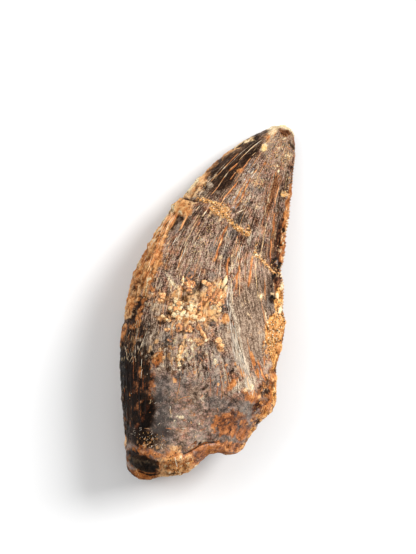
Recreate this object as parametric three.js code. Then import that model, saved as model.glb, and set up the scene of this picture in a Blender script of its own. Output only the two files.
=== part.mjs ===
// A fossil tyrannosaur tooth, broken off above the root and lying on its inner (lingual) face.
// Millimetres. +Y runs from the broken base to the tip, +X towards the serrated back edge, and +Z up,
// out of the outer (labial) face. The origin is the middle of the bottom of the box round the tooth.

import * as THREE from 'three';
import { mergeVertices } from 'three/addons/utils/BufferGeometryUtils.js';

const { clamp, lerp, smoothstep } = THREE.MathUtils;

// Driving dimensions.
const toothLength = 45.74;
const tipAlong = toothLength / 2;
const restLevel = 0;
const ridgeShift = -0.14; // the thickest line lies this share of the half width towards the front edge
const frontEdgeSharpness = 1.04; // 1 is a round edge, 2 is a wedge
const backEdgeSharpness = 1.75;
const tipSharpness = 1.25; // towards the tip the front edge is a ridge as well

// Resolution of the faceted solid.
const columns = 68;
const crownRows = 48;
const faceRows = 10;
const edgeSolveSteps = 60;
const edgeSolvePace = 0.4;

// The two edges in plan, from the tip to the base: [along, across].
const frontEdge = [
  [tipAlong, 2.2], [22.3, 0.85], [20.0, -1.85], [17.0, -4.2], [14.0, -5.95], [11.4, -7.2], [8.5, -8.45],
  [4.3, -9.6], [0, -10.42], [-4.0, -10.1], [-8.0, -9.65], [-12.0, -8.5], [-16.0, -7.05], [-19.0, -5.95],
  [-21.3, -5.2], [-tipAlong, -4.6],
];
const backEdge = [
  [tipAlong, 2.2], [22.45, 3.2], [21.5, 3.9], [19.0, 4.55], [16.5, 5.02], [13.0, 5.65], [10.0, 6.05],
  [6.8, 6.76], [5.75, 6.5], [4.8, 7.2], [1.5, 8.1], [-0.7, 9.0], [-4.5, 9.15], [-7.5, 9.75],
  [-10.4, 10.46], [-12.2, 9.35], [-16.1, 8.1], [-19.0, 7.3], [-tipAlong, 6.6],
];

// Heights along the tooth: the level of the two edges, and how far each face stands above and below it.
const edgeLevel = [
  [tipAlong, 1.3], [21.5, 1.25], [19.0, 1.65], [16.0, 2.15], [10.0, 3.2], [5.0, 3.85], [0, 4.35],
  [-8.0, 4.95], [-15.0, 4.85], [-tipAlong, 4.6],
];
const outerRise = [
  [tipAlong, 0], [21.5, 1.75], [19.0, 2.75], [16.0, 3.35], [10.0, 4.2], [5.0, 5.1], [0, 5.85],
  [-8.0, 6.5], [-15.0, 6.15], [-tipAlong, 5.3],
];
const innerDrop = [
  [tipAlong, 0], [21.5, 1.1], [19.0, 1.72], [16.0, 2.2], [10.0, 2.75], [5.0, 3.3], [0, 4.05],
  [-8.0, 5.25], [-15.0, 5.1], [-tipAlong, 4.3],
];

// The broken base. Its lowest reach, its upper lip and its lower lip, seen in plan: [across, along].
const breakReach = [
  [-5.2, -21.3], [-4.5, -22.3], [-2.7, -tipAlong], [-1.0, -22.3], [1.6, -21.2], [2.8, -20.0], [3.9, -18.2],
  [5.2, -17.3], [7.2, -16.9], [8.1, -16.1],
];
const upperLip = [
  [-5.2, -20.6], [-3.5, -20.5], [-1.2, -20.2], [0.8, -19.4], [2.0, -18.4], [3.4, -16.9], [5.0, -16.05],
  [8.1, -15.6],
];
const lowerLip = [[-5.2, -20.8], [-2.5, -21.2], [0.5, -20.2], [3.5, -17.6], [8.1, -15.7]];
const breakStart = -18;
const faceMiddle = { across: 1.0, level: 5.2 };

/** A smooth curve through [key, value] points that never overshoots them. */
function curveThrough(points) {
  const sorted = [...points].sort((a, b) => a[0] - b[0]);
  const keys = sorted.map((point) => point[0]);
  const values = sorted.map((point) => point[1]);
  const gaps = keys.slice(1).map((key, i) => key - keys[i]);
  const slopes = gaps.map((gap, i) => (values[i + 1] - values[i]) / gap);
  const tangents = keys.map((key, i) => {
    if (i === 0) return slopes[0];
    if (i === slopes.length) return slopes[i - 1];
    if (slopes[i - 1] * slopes[i] <= 0) return 0;
    const before = 2 * gaps[i] + gaps[i - 1];
    const after = gaps[i] + 2 * gaps[i - 1];
    return (before + after) / (before / slopes[i - 1] + after / slopes[i]);
  });
  return (key) => {
    const place = clamp(key, keys[0], keys.at(-1));
    const passed = keys.filter((start) => start <= place).length;
    const span = Math.min(passed, slopes.length) - 1;
    const t = (place - keys[span]) / gaps[span];
    const rest = 1 - t;
    return values[span] * rest * rest * (1 + 2 * t)
      + values[span + 1] * t * t * (3 - 2 * t)
      + gaps[span] * t * rest * (rest * tangents[span] - t * tangents[span + 1]);
  };
}

/** A curve along the tooth. It runs on the square root of the way from the tip, so the tip is round. */
function curveFromTip(points) {
  const rootOfWay = (along) => Math.sqrt(Math.max(0, tipAlong - along));
  const curve = curveThrough(points.map(([along, value]) => [rootOfWay(along), value]));
  return (along) => curve(rootOfWay(along));
}

const frontAt = curveFromTip(frontEdge);
const backAt = curveFromTip(backEdge);
const levelAt = curveFromTip(edgeLevel);
const riseAt = curveFromTip(outerRise);
const dropAt = curveFromTip(innerDrop);
const reachAt = curveThrough(breakReach);
const upperLipAt = curveThrough(upperLip);
const lowerLipAt = curveThrough(lowerLip);

/** A point of the cross-section at `along`. turn 0 is the front edge, a quarter turn is the outer face. */
function sectionPoint(turn, along) {
  const side = -Math.cos(turn);
  const lift = Math.sin(turn);
  const front = frontAt(along);
  const back = backAt(along);
  const halfWidth = (back - front) / 2;
  const nearTip = smoothstep(along, 2, 20);
  const frontSharpness = lerp(frontEdgeSharpness, tipSharpness, nearTip);
  const sharpness = lerp(frontSharpness, backEdgeSharpness, smoothstep(side, -0.7, 1));
  const fullness = Math.abs(lift) ** sharpness;
  const height = lift > 0 ? riseAt(along) : -dropAt(along);
  return {
    across: (front + back) / 2 + halfWidth * (side + ridgeShift * lift * lift),
    level: Math.max(restLevel, levelAt(along) + height * fullness),
  };
}

/** How far along the tooth the break lies, at one place across and one level. */
function breakAlong(across, level) {
  const rise = level - levelAt(breakStart);
  const fullness = rise > 0 ? rise / riseAt(breakStart) : -rise / dropAt(breakStart);
  const lip = rise > 0 ? upperLipAt(across) : lowerLipAt(across);
  return lerp(reachAt(across), lip, smoothstep(fullness, 0.35, 1));
}

/** How far along the tooth one column of the crown ends. */
function columnEnd(turn) {
  let along = breakStart;
  for (let step = 0; step < edgeSolveSteps; step += 1) {
    const point = sectionPoint(turn, along);
    along = lerp(along, breakAlong(point.across, point.level), edgeSolvePace);
  }
  return along;
}

/** A point of the crown: share 0 is the tip, and 1 is the rim of the break. */
function crownPoint(turn, share, end) {
  const along = lerp(tipAlong, end, share ** 1.35);
  const point = sectionPoint(turn, along);
  return new THREE.Vector3(point.across, along, point.level);
}

/** A point of the break: share 0 is its rim, and 1 is its middle. */
function facePoint(turn, share, end) {
  const rim = sectionPoint(turn, end);
  const across = lerp(rim.across, faceMiddle.across, share);
  const level = lerp(rim.level, faceMiddle.level, share);
  return new THREE.Vector3(across, breakAlong(across, level), level);
}

/** The closed solid: a sphere whose rows are drawn down the crown and in over the break. */
function toothGeometry() {
  const rows = crownRows + faceRows;
  const ball = new THREE.SphereGeometry(1, columns, rows);
  const places = ball.attributes.position;
  const ends = Array.from({ length: columns }, (_, column) => columnEnd((column / columns) * Math.PI * 2));
  for (let i = 0; i < places.count; i += 1) {
    const row = Math.floor(i / (columns + 1));
    const column = (i % (columns + 1)) % columns;
    const turn = (column / columns) * Math.PI * 2;
    const point = row <= crownRows
      ? crownPoint(turn, row / crownRows, ends[column])
      : facePoint(turn, (row - crownRows) / faceRows, ends[column]);
    places.setXYZ(i, point.x, point.y, point.z);
  }
  ball.deleteAttribute('normal');
  ball.deleteAttribute('uv');
  const solid = mergeVertices(ball, 1e-4);
  solid.computeVertexNormals();
  return solid;
}

const enamel = new THREE.MeshStandardMaterial({ color: '#5e4a3a', roughness: 0.45, metalness: 0 });

const tooth = new THREE.Mesh(toothGeometry(), enamel);
tooth.name = 'tooth';

const fossil = new THREE.Group();
fossil.add(tooth);

export default fossil;
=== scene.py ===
"""A fossil predator tooth, lying on its inner face on a pale studio floor.

Lengths in the modelling half are millimetres from the middle of the tooth's box: across (+X, towards the
serrated back edge), along (+Y, towards the tip) and level (+Z, above the floor). The meshes are in metres.
"""

import math

import bmesh
import bpy
import numpy as np
from mathutils import Euler, Matrix, Vector
from mathutils.bvhtree import BVHTree


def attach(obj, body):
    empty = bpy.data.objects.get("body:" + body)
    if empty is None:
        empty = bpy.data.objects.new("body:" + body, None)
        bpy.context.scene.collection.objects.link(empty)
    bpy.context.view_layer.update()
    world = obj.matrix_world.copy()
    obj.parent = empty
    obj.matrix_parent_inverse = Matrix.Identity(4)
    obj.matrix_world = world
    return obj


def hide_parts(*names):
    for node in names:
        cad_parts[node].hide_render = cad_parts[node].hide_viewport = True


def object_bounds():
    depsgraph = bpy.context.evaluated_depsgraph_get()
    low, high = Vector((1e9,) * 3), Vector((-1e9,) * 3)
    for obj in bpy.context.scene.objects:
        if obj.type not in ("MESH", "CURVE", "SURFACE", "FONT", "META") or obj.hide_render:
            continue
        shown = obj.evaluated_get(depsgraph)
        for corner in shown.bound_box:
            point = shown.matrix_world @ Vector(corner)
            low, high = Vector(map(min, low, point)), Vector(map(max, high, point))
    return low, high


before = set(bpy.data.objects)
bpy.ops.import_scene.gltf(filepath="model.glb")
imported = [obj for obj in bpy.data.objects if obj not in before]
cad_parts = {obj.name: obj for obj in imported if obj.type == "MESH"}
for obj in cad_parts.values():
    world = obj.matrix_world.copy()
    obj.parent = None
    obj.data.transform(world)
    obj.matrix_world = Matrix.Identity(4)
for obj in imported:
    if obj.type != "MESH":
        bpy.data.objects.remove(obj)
frame_low, frame_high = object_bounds()

MM = 0.001
BODY = "root"
NODE = "tooth"
LENGTH = (frame_high.y - frame_low.y) / MM
MIDDLE = (frame_low + frame_high) / 2

BAKE_MAP = "OFBake"

# ---------------------------------------- the skin's grid
OUTER_COLUMNS = 232
INNER_COLUMNS = 146
ROWS = 260
ASPECT = 0.58  # thickness over width of a usual cross-section
FIRST_SECTION = -15.2  # below this the rays fan out over the break
LAST_SECTION = 20.6  # above this they fan out over the tip

# ---------------------------------------- the small pieces
DENTICLE_PITCH = 0.385  # 13 denticles in 5 mm
VEIN_CORNERS = 6  # corners of the ring that a crack's filling is extruded from
VEIN_STEP = 0.13  # from one ring of a filling to the next
VEIN_HEIGHT = 0.035  # half the thickness of a filling
VEIN_WIDTHS = (0.11, 0.4)  # seams between these widths get a filling of their own
FAINT_WIDTH = 0.19  # the ground under a filled seam thinner than this is tinted less
RIBBON_WIDTH = 0.99  # a pale seam wider than this is streaked, as bare fibre is
FINE_CRACKS = 100  # sunken cracks along the growth lines
FINE_VEINS = 60  # filled ones
GROWTH_STEP = 0.4  # from one point of a growth line to the next
SEAM_GRAINS = 60  # grains for each millimetre of a sandy seam
KNOB_LUMPS = 55  # small lumps for each square millimetre of a knob
CHUNK = 120  # lumps put together at a time, because a bmesh slows down as it grows


# ======================================== numbers over the surface
def smoothstep(low, high, value):
    """0 at low, 1 at high, and smooth between them."""
    t = np.clip((value - low) / (high - low), 0, 1)
    return t * t * (3 - 2 * t)


def lattice(cell, seed):
    """A random number from 0 to 1 for each whole-numbered cell."""
    x, y, z = (cell[..., i].astype(np.int64) for i in range(3))
    mixed = (x * 374761393 + y * 668265263 + z * 1440662683 + seed * 1274126177) & 0xFFFFFFFF
    mixed = ((mixed ^ (mixed >> 13)) * 1274126177) & 0xFFFFFFFF
    return ((mixed ^ (mixed >> 16)) & 0xFFFF) / 65535.0


def noise(points, size, seed=0, octaves=2):
    """Smooth noise from -1 to 1. size is one length or three, to stretch it. seed picks the noise."""
    total = np.zeros(points.shape[:-1])
    reach = 0.0
    for octave in range(octaves):
        scaled = points / np.asarray(size) * 2.0**octave + 17.3 * octave
        corner = np.floor(scaled)
        t = scaled - corner
        t = t * t * t * (t * (6 * t - 15) + 10)
        value = np.zeros(points.shape[:-1])
        for dx in (0, 1):
            for dy in (0, 1):
                for dz in (0, 1):
                    weight = 1.0
                    for i, step in enumerate((dx, dy, dz)):
                        weight = weight * (t[..., i] if step else 1 - t[..., i])
                    value += weight * lattice(corner + (dx, dy, dz), seed + octave)
        total += (2 * value - 1) * 0.5**octave
        reach += 0.5**octave
    return total / reach


def cells(points, size, seed):
    """Cellular noise: the way to the nearest seed point and to the next, in cells."""
    scaled = points / np.asarray(size)
    corner = np.floor(scaled)
    nearest = np.full(points.shape[:-1], 9.0)
    second = np.full(points.shape[:-1], 9.0)
    steps = (-1, 0, 1)
    for step in [(dx, dy, dz) for dx in steps for dy in steps for dz in steps]:
        cell = corner + step
        spot = np.stack([lattice(cell, seed + i) for i in range(3)], axis=-1) + cell
        way = np.linalg.norm(scaled - spot, axis=-1)
        second = np.where(way < nearest, nearest, np.minimum(second, way))
        nearest = np.minimum(nearest, way)
    return nearest, second


def spot_in(random, centre, reach):
    """A random place in an ellipse."""
    turn, way = random.uniform(0, 2 * math.pi), math.sqrt(random.random())
    return centre[0] + reach[0] * way * math.cos(turn), centre[1] + reach[1] * way * math.sin(turn)


def blurred(grid, spread, axis, wraps):
    """The grid smoothed along one axis over a number of its steps."""
    reach = math.ceil(3 * spread)
    steps = np.arange(-reach, reach + 1)
    weights = np.exp(-((steps / spread) ** 2) / 2)
    weights /= weights.sum()
    count = grid.shape[axis]
    total = np.zeros_like(grid)
    for step, weight in zip(steps, weights):
        at = np.arange(count) + step
        at = at % count if wraps else np.clip(at, 0, count - 1)
        total += weight * np.take(grid, at, axis=axis)
    return total


def way_along(points):
    """How far along a broken line each of its points lies."""
    return np.concatenate([[0], np.cumsum(np.linalg.norm(np.diff(points, axis=0), axis=1))])


def points_at(wanted, way, points):
    """The places at wanted ways along a broken line."""
    return np.stack([np.interp(wanted, way, column) for column in points.T], axis=-1)


def way_to_line(across, along, points):
    """The distance to a broken line, and the share of its length where the nearest point lies."""
    points = np.asarray(points, float)
    spans = np.linalg.norm(np.diff(points, axis=0), axis=1)
    starts = np.concatenate([[0], np.cumsum(spans)])
    best = np.full(across.shape, np.inf)
    share = np.zeros(across.shape)
    for (x0, y0), (x1, y1), span, start in zip(points, points[1:], spans, starts):
        t = ((across - x0) * (x1 - x0) + (along - y0) * (y1 - y0)) / span**2
        t = np.clip(t, 0, 1)
        way = np.hypot(across - x0 - t * (x1 - x0), along - y0 - t * (y1 - y0))
        nearer = way < best
        best = np.where(nearer, way, best)
        share = np.where(nearer, (start + t * span) / starts[-1], share)
    return best, share


# ======================================== the smooth form, read off the frame
def frame_solid():
    """The CAD tooth in millimetres: its search tree, and its merged vertices."""
    solid = bmesh.new()
    solid.from_mesh(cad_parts[NODE].data)
    bmesh.ops.scale(solid, vec=(1 / MM,) * 3, verts=solid.verts)
    bmesh.ops.remove_doubles(solid, verts=solid.verts, dist=1e-3)
    tree = BVHTree.FromBMesh(solid)
    places = np.array([v.co for v in solid.verts])
    solid.free()
    return tree, places


def middle_line(places):
    """The line through the middles of the cross-sections, as a function of the way along."""
    stations = np.linspace(FIRST_SECTION, LAST_SECTION, 40)
    middles = []
    for station in stations:
        near = places[np.abs(places[:, 1] - station) < 0.9]
        middles.append((near.min(0) + near.max(0)) / 2)
    middles = np.array(middles)
    across = np.poly1d(np.polyfit(stations, middles[:, 0], 4))
    level = np.poly1d(np.polyfit(stations, middles[:, 2], 4))
    return lambda along: Vector((across(along), along, level(along)))


def column_turns():
    """The turn of each column: half a circle from the front edge over the outer face, then back below."""
    outer = np.linspace(0, math.pi, OUTER_COLUMNS + 1)
    inner = np.linspace(math.pi, 2 * math.pi, INNER_COLUMNS + 1)
    return np.concatenate([outer, inner[1:]])


def ray_starts(middle):
    """Where each ray starts, and how it leans towards the tip, from the tip to the break."""
    tip = [(LAST_SECTION, lean) for lean in np.linspace(math.pi / 2, 0, 44)]
    crown = [(along, 0.0) for along in np.linspace(LAST_SECTION, FIRST_SECTION, 250)[1:]]
    face = [(FIRST_SECTION, -lean) for lean in np.linspace(0, math.pi / 2, 150)[1:]]
    return [(middle(along), lean) for along, lean in tip + crown + face]


def even_rows(profile):
    """The profile's points again, evenly spaced along it."""
    way = way_along(profile)
    return points_at(np.linspace(0, way[-1], ROWS + 1), way, profile)


def smooth_form():
    """The tooth's smooth skin as a grid of points: rows from the tip to the break, columns round it."""
    tree, places = frame_solid()
    starts = ray_starts(middle_line(places))
    columns = []
    for turn in column_turns()[:-1]:
        side = Vector((-math.cos(turn), 0, ASPECT * math.sin(turn))).normalized()
        hits = []
        for start, lean in starts:
            aim = side * math.cos(lean) + Vector((0, math.sin(lean), 0))
            hits.append(tree.ray_cast(start, aim)[0])
        columns.append(even_rows(np.array(hits)))
    form = np.stack(columns, axis=1)
    form = blurred(form, 2.2, axis=1, wraps=True)
    return blurred(form, 1.6, axis=0, wraps=False)


def outward(form):
    """The unit normals of a grid of points."""
    round_it = np.roll(form, -1, axis=1) - np.roll(form, 1, axis=1)
    down_it = np.gradient(form, axis=0)
    normal = np.cross(down_it, round_it)
    size = np.linalg.norm(normal, axis=2, keepdims=True)
    normal = normal / np.maximum(size, 1e-9)
    normal[0] = (0, 1, 0)
    normal[-1] = (0, -1, 0)
    return normal


# ======================================== features of the outer face
# Each patch: tone, (across, along), (half width, half length), lean in degrees, rise in millimetres.
PATCHES = [
    # the tip
    ("russet", (2.2, 22.15), (0.85, 0.42), -12, -0.26),
    ("dark", (2.75, 22.25), (0.3, 0.12), -20, -0.08),
    ("cream", (0.45, 19.55), (0.42, 0.56), -10, 0.16),
    ("cream", (-1.25, 20.2), (0.22, 0.16), 0, 0.05),
    ("cream", (0.9, 21.8), (0.34, 0.75), -18, 0.1),
    ("orange", (0.6, 20.95), (0.3, 0.5), -18, 0.08),
    ("orange", (0.5, 19.6), (0.16, 0.22), 0, 0.02),
    ("cream", (4.3, 15), (0.3, 0.12), -35, 0.05),
    ("pale", (4.7, 14.65), (0.14, 0.26), 10, 0.05),
    ("cream", (4.15, 14.6), (0.12, 0.12), 0, 0.04),
    ("grey", (-0.55, 16.5), (0.5, 0.75), -15, 0),
    ("grey", (0.7, 14.3), (0.7, 0.55), 0, 0),
    # painted glint: a small pale spot
    ("pale", (-3.4, 12.75), (0.36, 0.2), -20, 0.05),
    ("orange", (-1.5, 16.05), (0.3, 0.3), 0, 0.02),
    ("ochre", (-6, 13.2), (0.7, 1.7), -25, 0.08),
    ("dark", (-5.95, 12.6), (0.25, 0.35), -25, -0.1),
    # the filled break across the crown
    ("ochre", (-2.75, 10.85), (1.1, 0.85), -10, 0.18),
    ("drab", (0.1, 10.3), (0.8, 1), -20, -0.08),
    ("grey", (0, 10.5), (0.5, 0.6), -20, 0),
    ("dark", (-6.7, 11), (0.6, 0.2), 0, -0.35),
    ("grey", (1.85, 8.45), (0.3, 0.75), -5, 0.05),
    ("grey", (-0.7, 6.4), (0.55, 1), 0, 0),
    ("grey", (-2.1, 6.1), (0.5, 0.8), 0, 0),
    ("grey", (-0.4, 8.6), (0.6, 0.7), 0, 0),
    ("cream", (3, 6.75), (0.28, 0.2), 0, 0.08),
    # the front margin
    ("ochre", (-7.2, 9.9), (1.3, 1), -20, 0.2),
    ("orange", (-7.2, 9.9), (1.3, 1), -20, 0.1),
    # painted highlight: a small cream spot on the lump
    ("cream", (-6.9, 9.15), (0.22, 0.16), 0, 0.06),
    ("cream", (-7.9, 10.5), (0.12, 0.5), -20, 0.02),
    ("umber", (-7.55, 7.7), (0.4, 1.1), -12, -0.2),
    ("umber", (-7, 8.5), (0.6, 0.4), -12, -0.16),
    ("grey", (-6.75, 7.5), (0.35, 0.8), -15, 0),
    ("umber", (-6, 8.3), (0.3, 1.1), -12, -0.03),
    ("orange", (-8.55, 2.4), (0.45, 1.5), -6, 0.06),
    ("orange", (-8.3, 5.6), (0.5, 1), -12, 0.04),
    ("umber", (-9, 4.4), (0.28, 0.4), -8, -0.05),
    ("ochre", (-8.8, 3.2), (0.75, 3.4), -9, 0.06),
    ("ochre", (-8.6, 1.4), (0.8, 2.2), -8, 0.06),
    ("dark", (-8.1, 7.2), (0.2, 0.3), -10, -0.06),
    ("dark", (-9.3, 3.2), (0.25, 0.8), -8, -0.06),
    ("dark", (-9.6, 0.6), (0.3, 0.9), -4, -0.05),
    ("ochre", (-9.35, 0.2), (0.25, 0.6), 0, 0.05),
    ("orange", (-9.65, -2.9), (0.35, 0.9), 0, 0.08),
    ("umber", (-9.8, -1.5), (0.3, 0.5), 0, -0.05),
    ("ochre", (-9.25, -1.2), (0.3, 0.6), 0, 0.05),
    ("orange", (-9.6, -6.6), (0.2, 0.6), 0, 0.05),
    ("umber", (-8.5, -2.6), (0.4, 1.3), 0, -0.06),
    # the pitted middle
    # painted shadow: this row and the next darken the hollows under and beside the ringed knob
    ("dark", (-3.75, -0.55), (0.7, 0.42), 0, -0.4),
    ("dark", (-2.35, 1.3), (0.3, 0.75), 10, -0.3),
    ("dark", (-2.3, 0.2), (0.3, 0.4), 0, -0.25),
    ("grey", (-2.7, -0.4), (0.4, 0.5), 20, 0.1),
    ("orange", (-0.9, 0.9), (0.6, 1.6), -10, 0.16),
    ("cream", (-0.55, 1.6), (0.3, 0.8), -10, 0.16),
    ("orange", (0.35, 0.9), (0.65, 1.6), -12, 0.16),
    ("cream", (0.3, 2.7), (0.25, 1), -8, 0.12),
    ("orange", (-1.6, -0.6), (0.35, 1.9), 0, 0.14),
    ("ochre", (0.1, -0.9), (0.4, 0.9), 0, 0.12),
    ("cream", (-4.25, -1.5), (0.7, 0.45), 10, 0.22),
    ("cream", (-3.8, -2.7), (0.5, 0.6), 20, 0.24),
    ("cream", (-2.4, -1.3), (0.5, 0.6), 0, 0.22),
    ("dark", (-3.2, -1.85), (0.16, 0.14), 0, -0.25),
    ("dark", (-4.95, -2.7), (0.38, 0.3), 0, -0.3),
    ("ochre", (-6.3, -1.2), (0.45, 0.45), 0, 0.15),
    ("drab", (-6.6, -2.6), (1, 1), 0, 0.1),
    ("ochre", (-8, -1.5), (0.35, 0.3), 0, 0.1),
    ("orange", (1.65, -1.5), (0.55, 0.55), 0, 0.12),
    ("ochre", (-5.4, -3.6), (0.8, 0.22), 0, 0.1),
    ("orange", (1.65, -4.5), (0.75, 0.42), -40, 0.18),
    ("ochre", (2.2, -5.2), (0.5, 0.35), -40, 0.1),
    ("ochre", (-0.6, -4.9), (0.6, 0.35), -20, 0.1),
    ("pale", (-4.5, -4.4), (0.6, 0.4), 0, 0.1),
    ("grey", (2.6, -8.9), (0.9, 0.9), -30, -0.08),
    ("grey", (1.7, -7.2), (0.5, 1.4), -30, -0.04),
    ("grey", (1.8, -5.3), (0.5, 0.4), -30, -0.05),
    # the back margin
    ("grey", (6.7, 2.4), (0.7, 1.3), -20, -0.05),
    ("umber", (6.9, 2.6), (0.45, 0.9), -20, -0.05),
    ("cream", (7.75, 1.4), (0.32, 1.1), -18, 0.06),
    ("ochre", (7.9, -1.2), (0.95, 1.75), -12, 0.12),
    ("ochre", (7.1, -0.6), (0.5, 1.1), -12, 0.08),
    ("ochre", (8.1, -3.5), (0.45, 0.7), -5, 0.06),
    ("rust", (9.2, -7.7), (0.4, 2.2), 10, 0.04),
    ("rust", (9.4, -10.9), (0.5, 1.3), 0, 0.04),
    ("drab", (4.4, 0.6), (2.3, 4.6), -8, 0),
    ("drab", (5.6, -4.2), (1.7, 3), -25, 0),
    ("drab", (2.6, -3.2), (1, 3.2), -20, 0),
    # painted glints: this pale streak and the next whitish patch
    ("pale", (1.85, 8.35), (0.24, 0.6), -4, 0.05),
    ("pearl", (5.6, 6.6), (0.35, 0.14), -20, 0.03),
    ("russet", (2.9, 14.6), (0.5, 3.2), 0, 0),
    # the lower crown
    ("rust", (5.4, -7.05), (0.65, 0.3), -25, 0),
    ("rust", (4.55, -8.8), (0.28, 0.85), -25, 0.03),
    ("rust", (6.7, -9.3), (1.1, 0.35), -10, 0),
    ("rust", (7.2, -9.9), (0.8, 0.5), 0, 0),
    ("orange", (5.45, -7.25), (0.55, 0.2), -30, 0.02),
    ("orange", (4.65, -8.95), (0.18, 0.65), -28, 0.02),
    ("orange", (6.8, -9.35), (0.8, 0.2), -25, 0.02),
    ("orange", (7.5, -1.4), (0.6, 1.3), -12, 0.03),
    ("orange", (5, -12.6), (0.6, 0.3), 0, 0.02),
    ("orange", (5.6, -14.5), (0.5, 0.3), 20, 0.02),
    ("pale", (5.35, -9), (0.3, 1), -28, 0.1),
    ("pale", (6.5, -8.2), (0.6, 1.1), -38, 0.06),
    ("cream", (6.6, -8.7), (0.25, 0.55), -35, 0.06),
    ("rust", (5.3, -12.8), (0.9, 0.45), 0, 0),
    ("rust", (4.3, -13.4), (0.6, 0.5), 0, 0),
    ("rust", (5.7, -14.3), (1.1, 0.7), 0, 0),
    ("rust", (7.3, -14.2), (0.7, 0.8), 0, 0),
    ("grey", (6.6, -11.6), (1.4, 1.2), 0, 0),
    ("grey", (3.8, -11.6), (1.6, 0.9), 0, 0),
    # painted sheen: this grey patch and the next two, beside the dark stain
    ("grey", (-3.2, -11.9), (0.9, 2), 5, 0),
    ("grey", (-2.6, -15), (1.4, 2.3), 5, 0),
    ("grey", (-1.2, -16.9), (0.9, 0.9), 0, 0),
    ("drab", (0.6, -11.2), (0.7, 0.9), 0, 0.04),
    ("pale", (1.6, -11.3), (0.3, 0.5), 0, 0.03),
    ("cream", (-0.3, -14.4), (0.28, 0.2), 0, 0.05),
    ("rust", (0.4, -14.55), (0.25, 0.14), 0, 0),
    ("umber", (-8.4, -7.8), (1.6, 3.8), 6, 0),
    ("drab", (-6.6, -6.6), (1.2, 2.6), 4, 0),
    ("pale", (-4.1, -5.9), (0.4, 0.3), 0, 0.03),
    ("grey", (-4.2, -5.9), (0.9, 0.8), 0, 0),
    ("rust", (-4.9, -8.3), (0.6, 0.9), 0, 0.03),
    ("dark", (-6.9, -12.9), (2.1, 3.6), 12, 0),
    ("dark", (-5.4, -14.6), (1.4, 2.2), 10, 0),
    ("umber", (-4.2, -18), (2.2, 1.1), 0, 0.04),
    ("drab", (-2.6, -18.2), (1.4, 0.7), 0, 0.06),
    ("russet", (-5.2, -13.6), (0.3, 0.9), 30, 0.06),
    ("russet", (-5, -11.3), (0.32, 0.45), 0, 0.05),
    ("russet", (-5.6, -14.7), (0.36, 0.7), 20, 0.05),
    ("russet", (-4.6, -8.5), (0.3, 0.8), 0, 0.03),
    # the broken base
    ("ochre", (0.1, -18.2), (0.7, 0.5), 0, 0.08),
    ("orange", (0.3, -18.8), (1.1, 0.35), -8, 0.05),
    ("pale", (-0.1, -18), (0.3, 0.3), 20, 0.05),
    ("ochre", (0.6, -19.7), (1.3, 1), -15, 0.14),
    ("orange", (0.9, -19.8), (1.9, 1.1), -15, 0.05),
    ("orange", (2.3, -20.2), (1, 0.8), 20, 0.05),
    ("orange", (2.2, -19.4), (0.8, 1.2), 20, 0.08),
    ("orange", (1.2, -19.5), (1.4, 0.9), -10, 0.03),
    ("rust", (1.7, -20.5), (1.2, 0.45), 25, 0.03),
    ("umber", (0, -19.6), (0.45, 0.35), 0, -0.05),
    ("rust", (3.1, -19.2), (0.9, 1.5), -35, 0.06),
    ("rust", (-2.6, -19.5), (2, 0.32), 6, 0.1),
    ("orange", (0, -20.3), (0.5, 0.4), 0, 0.06),
    ("rust", (-0.3, -20.5), (0.6, 0.5), 0, -0.06),
    ("black", (0.5, -21.15), (0.55, 0.22), 5, -0.25),
    ("dark", (1.3, -20.7), (0.4, 0.3), 30, -0.2),
    ("dark", (-4.4, -20.2), (1, 0.7), 0, 0),
    ("black", (-2.9, -20.95), (2, 0.95), -3, 0.22),
    ("rust", (-2.6, -22.3), (1.8, 0.22), -8, 0.04),
    ("orange", (-1.15, -20.9), (0.16, 0.75), 8, 0.1),
]

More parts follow.
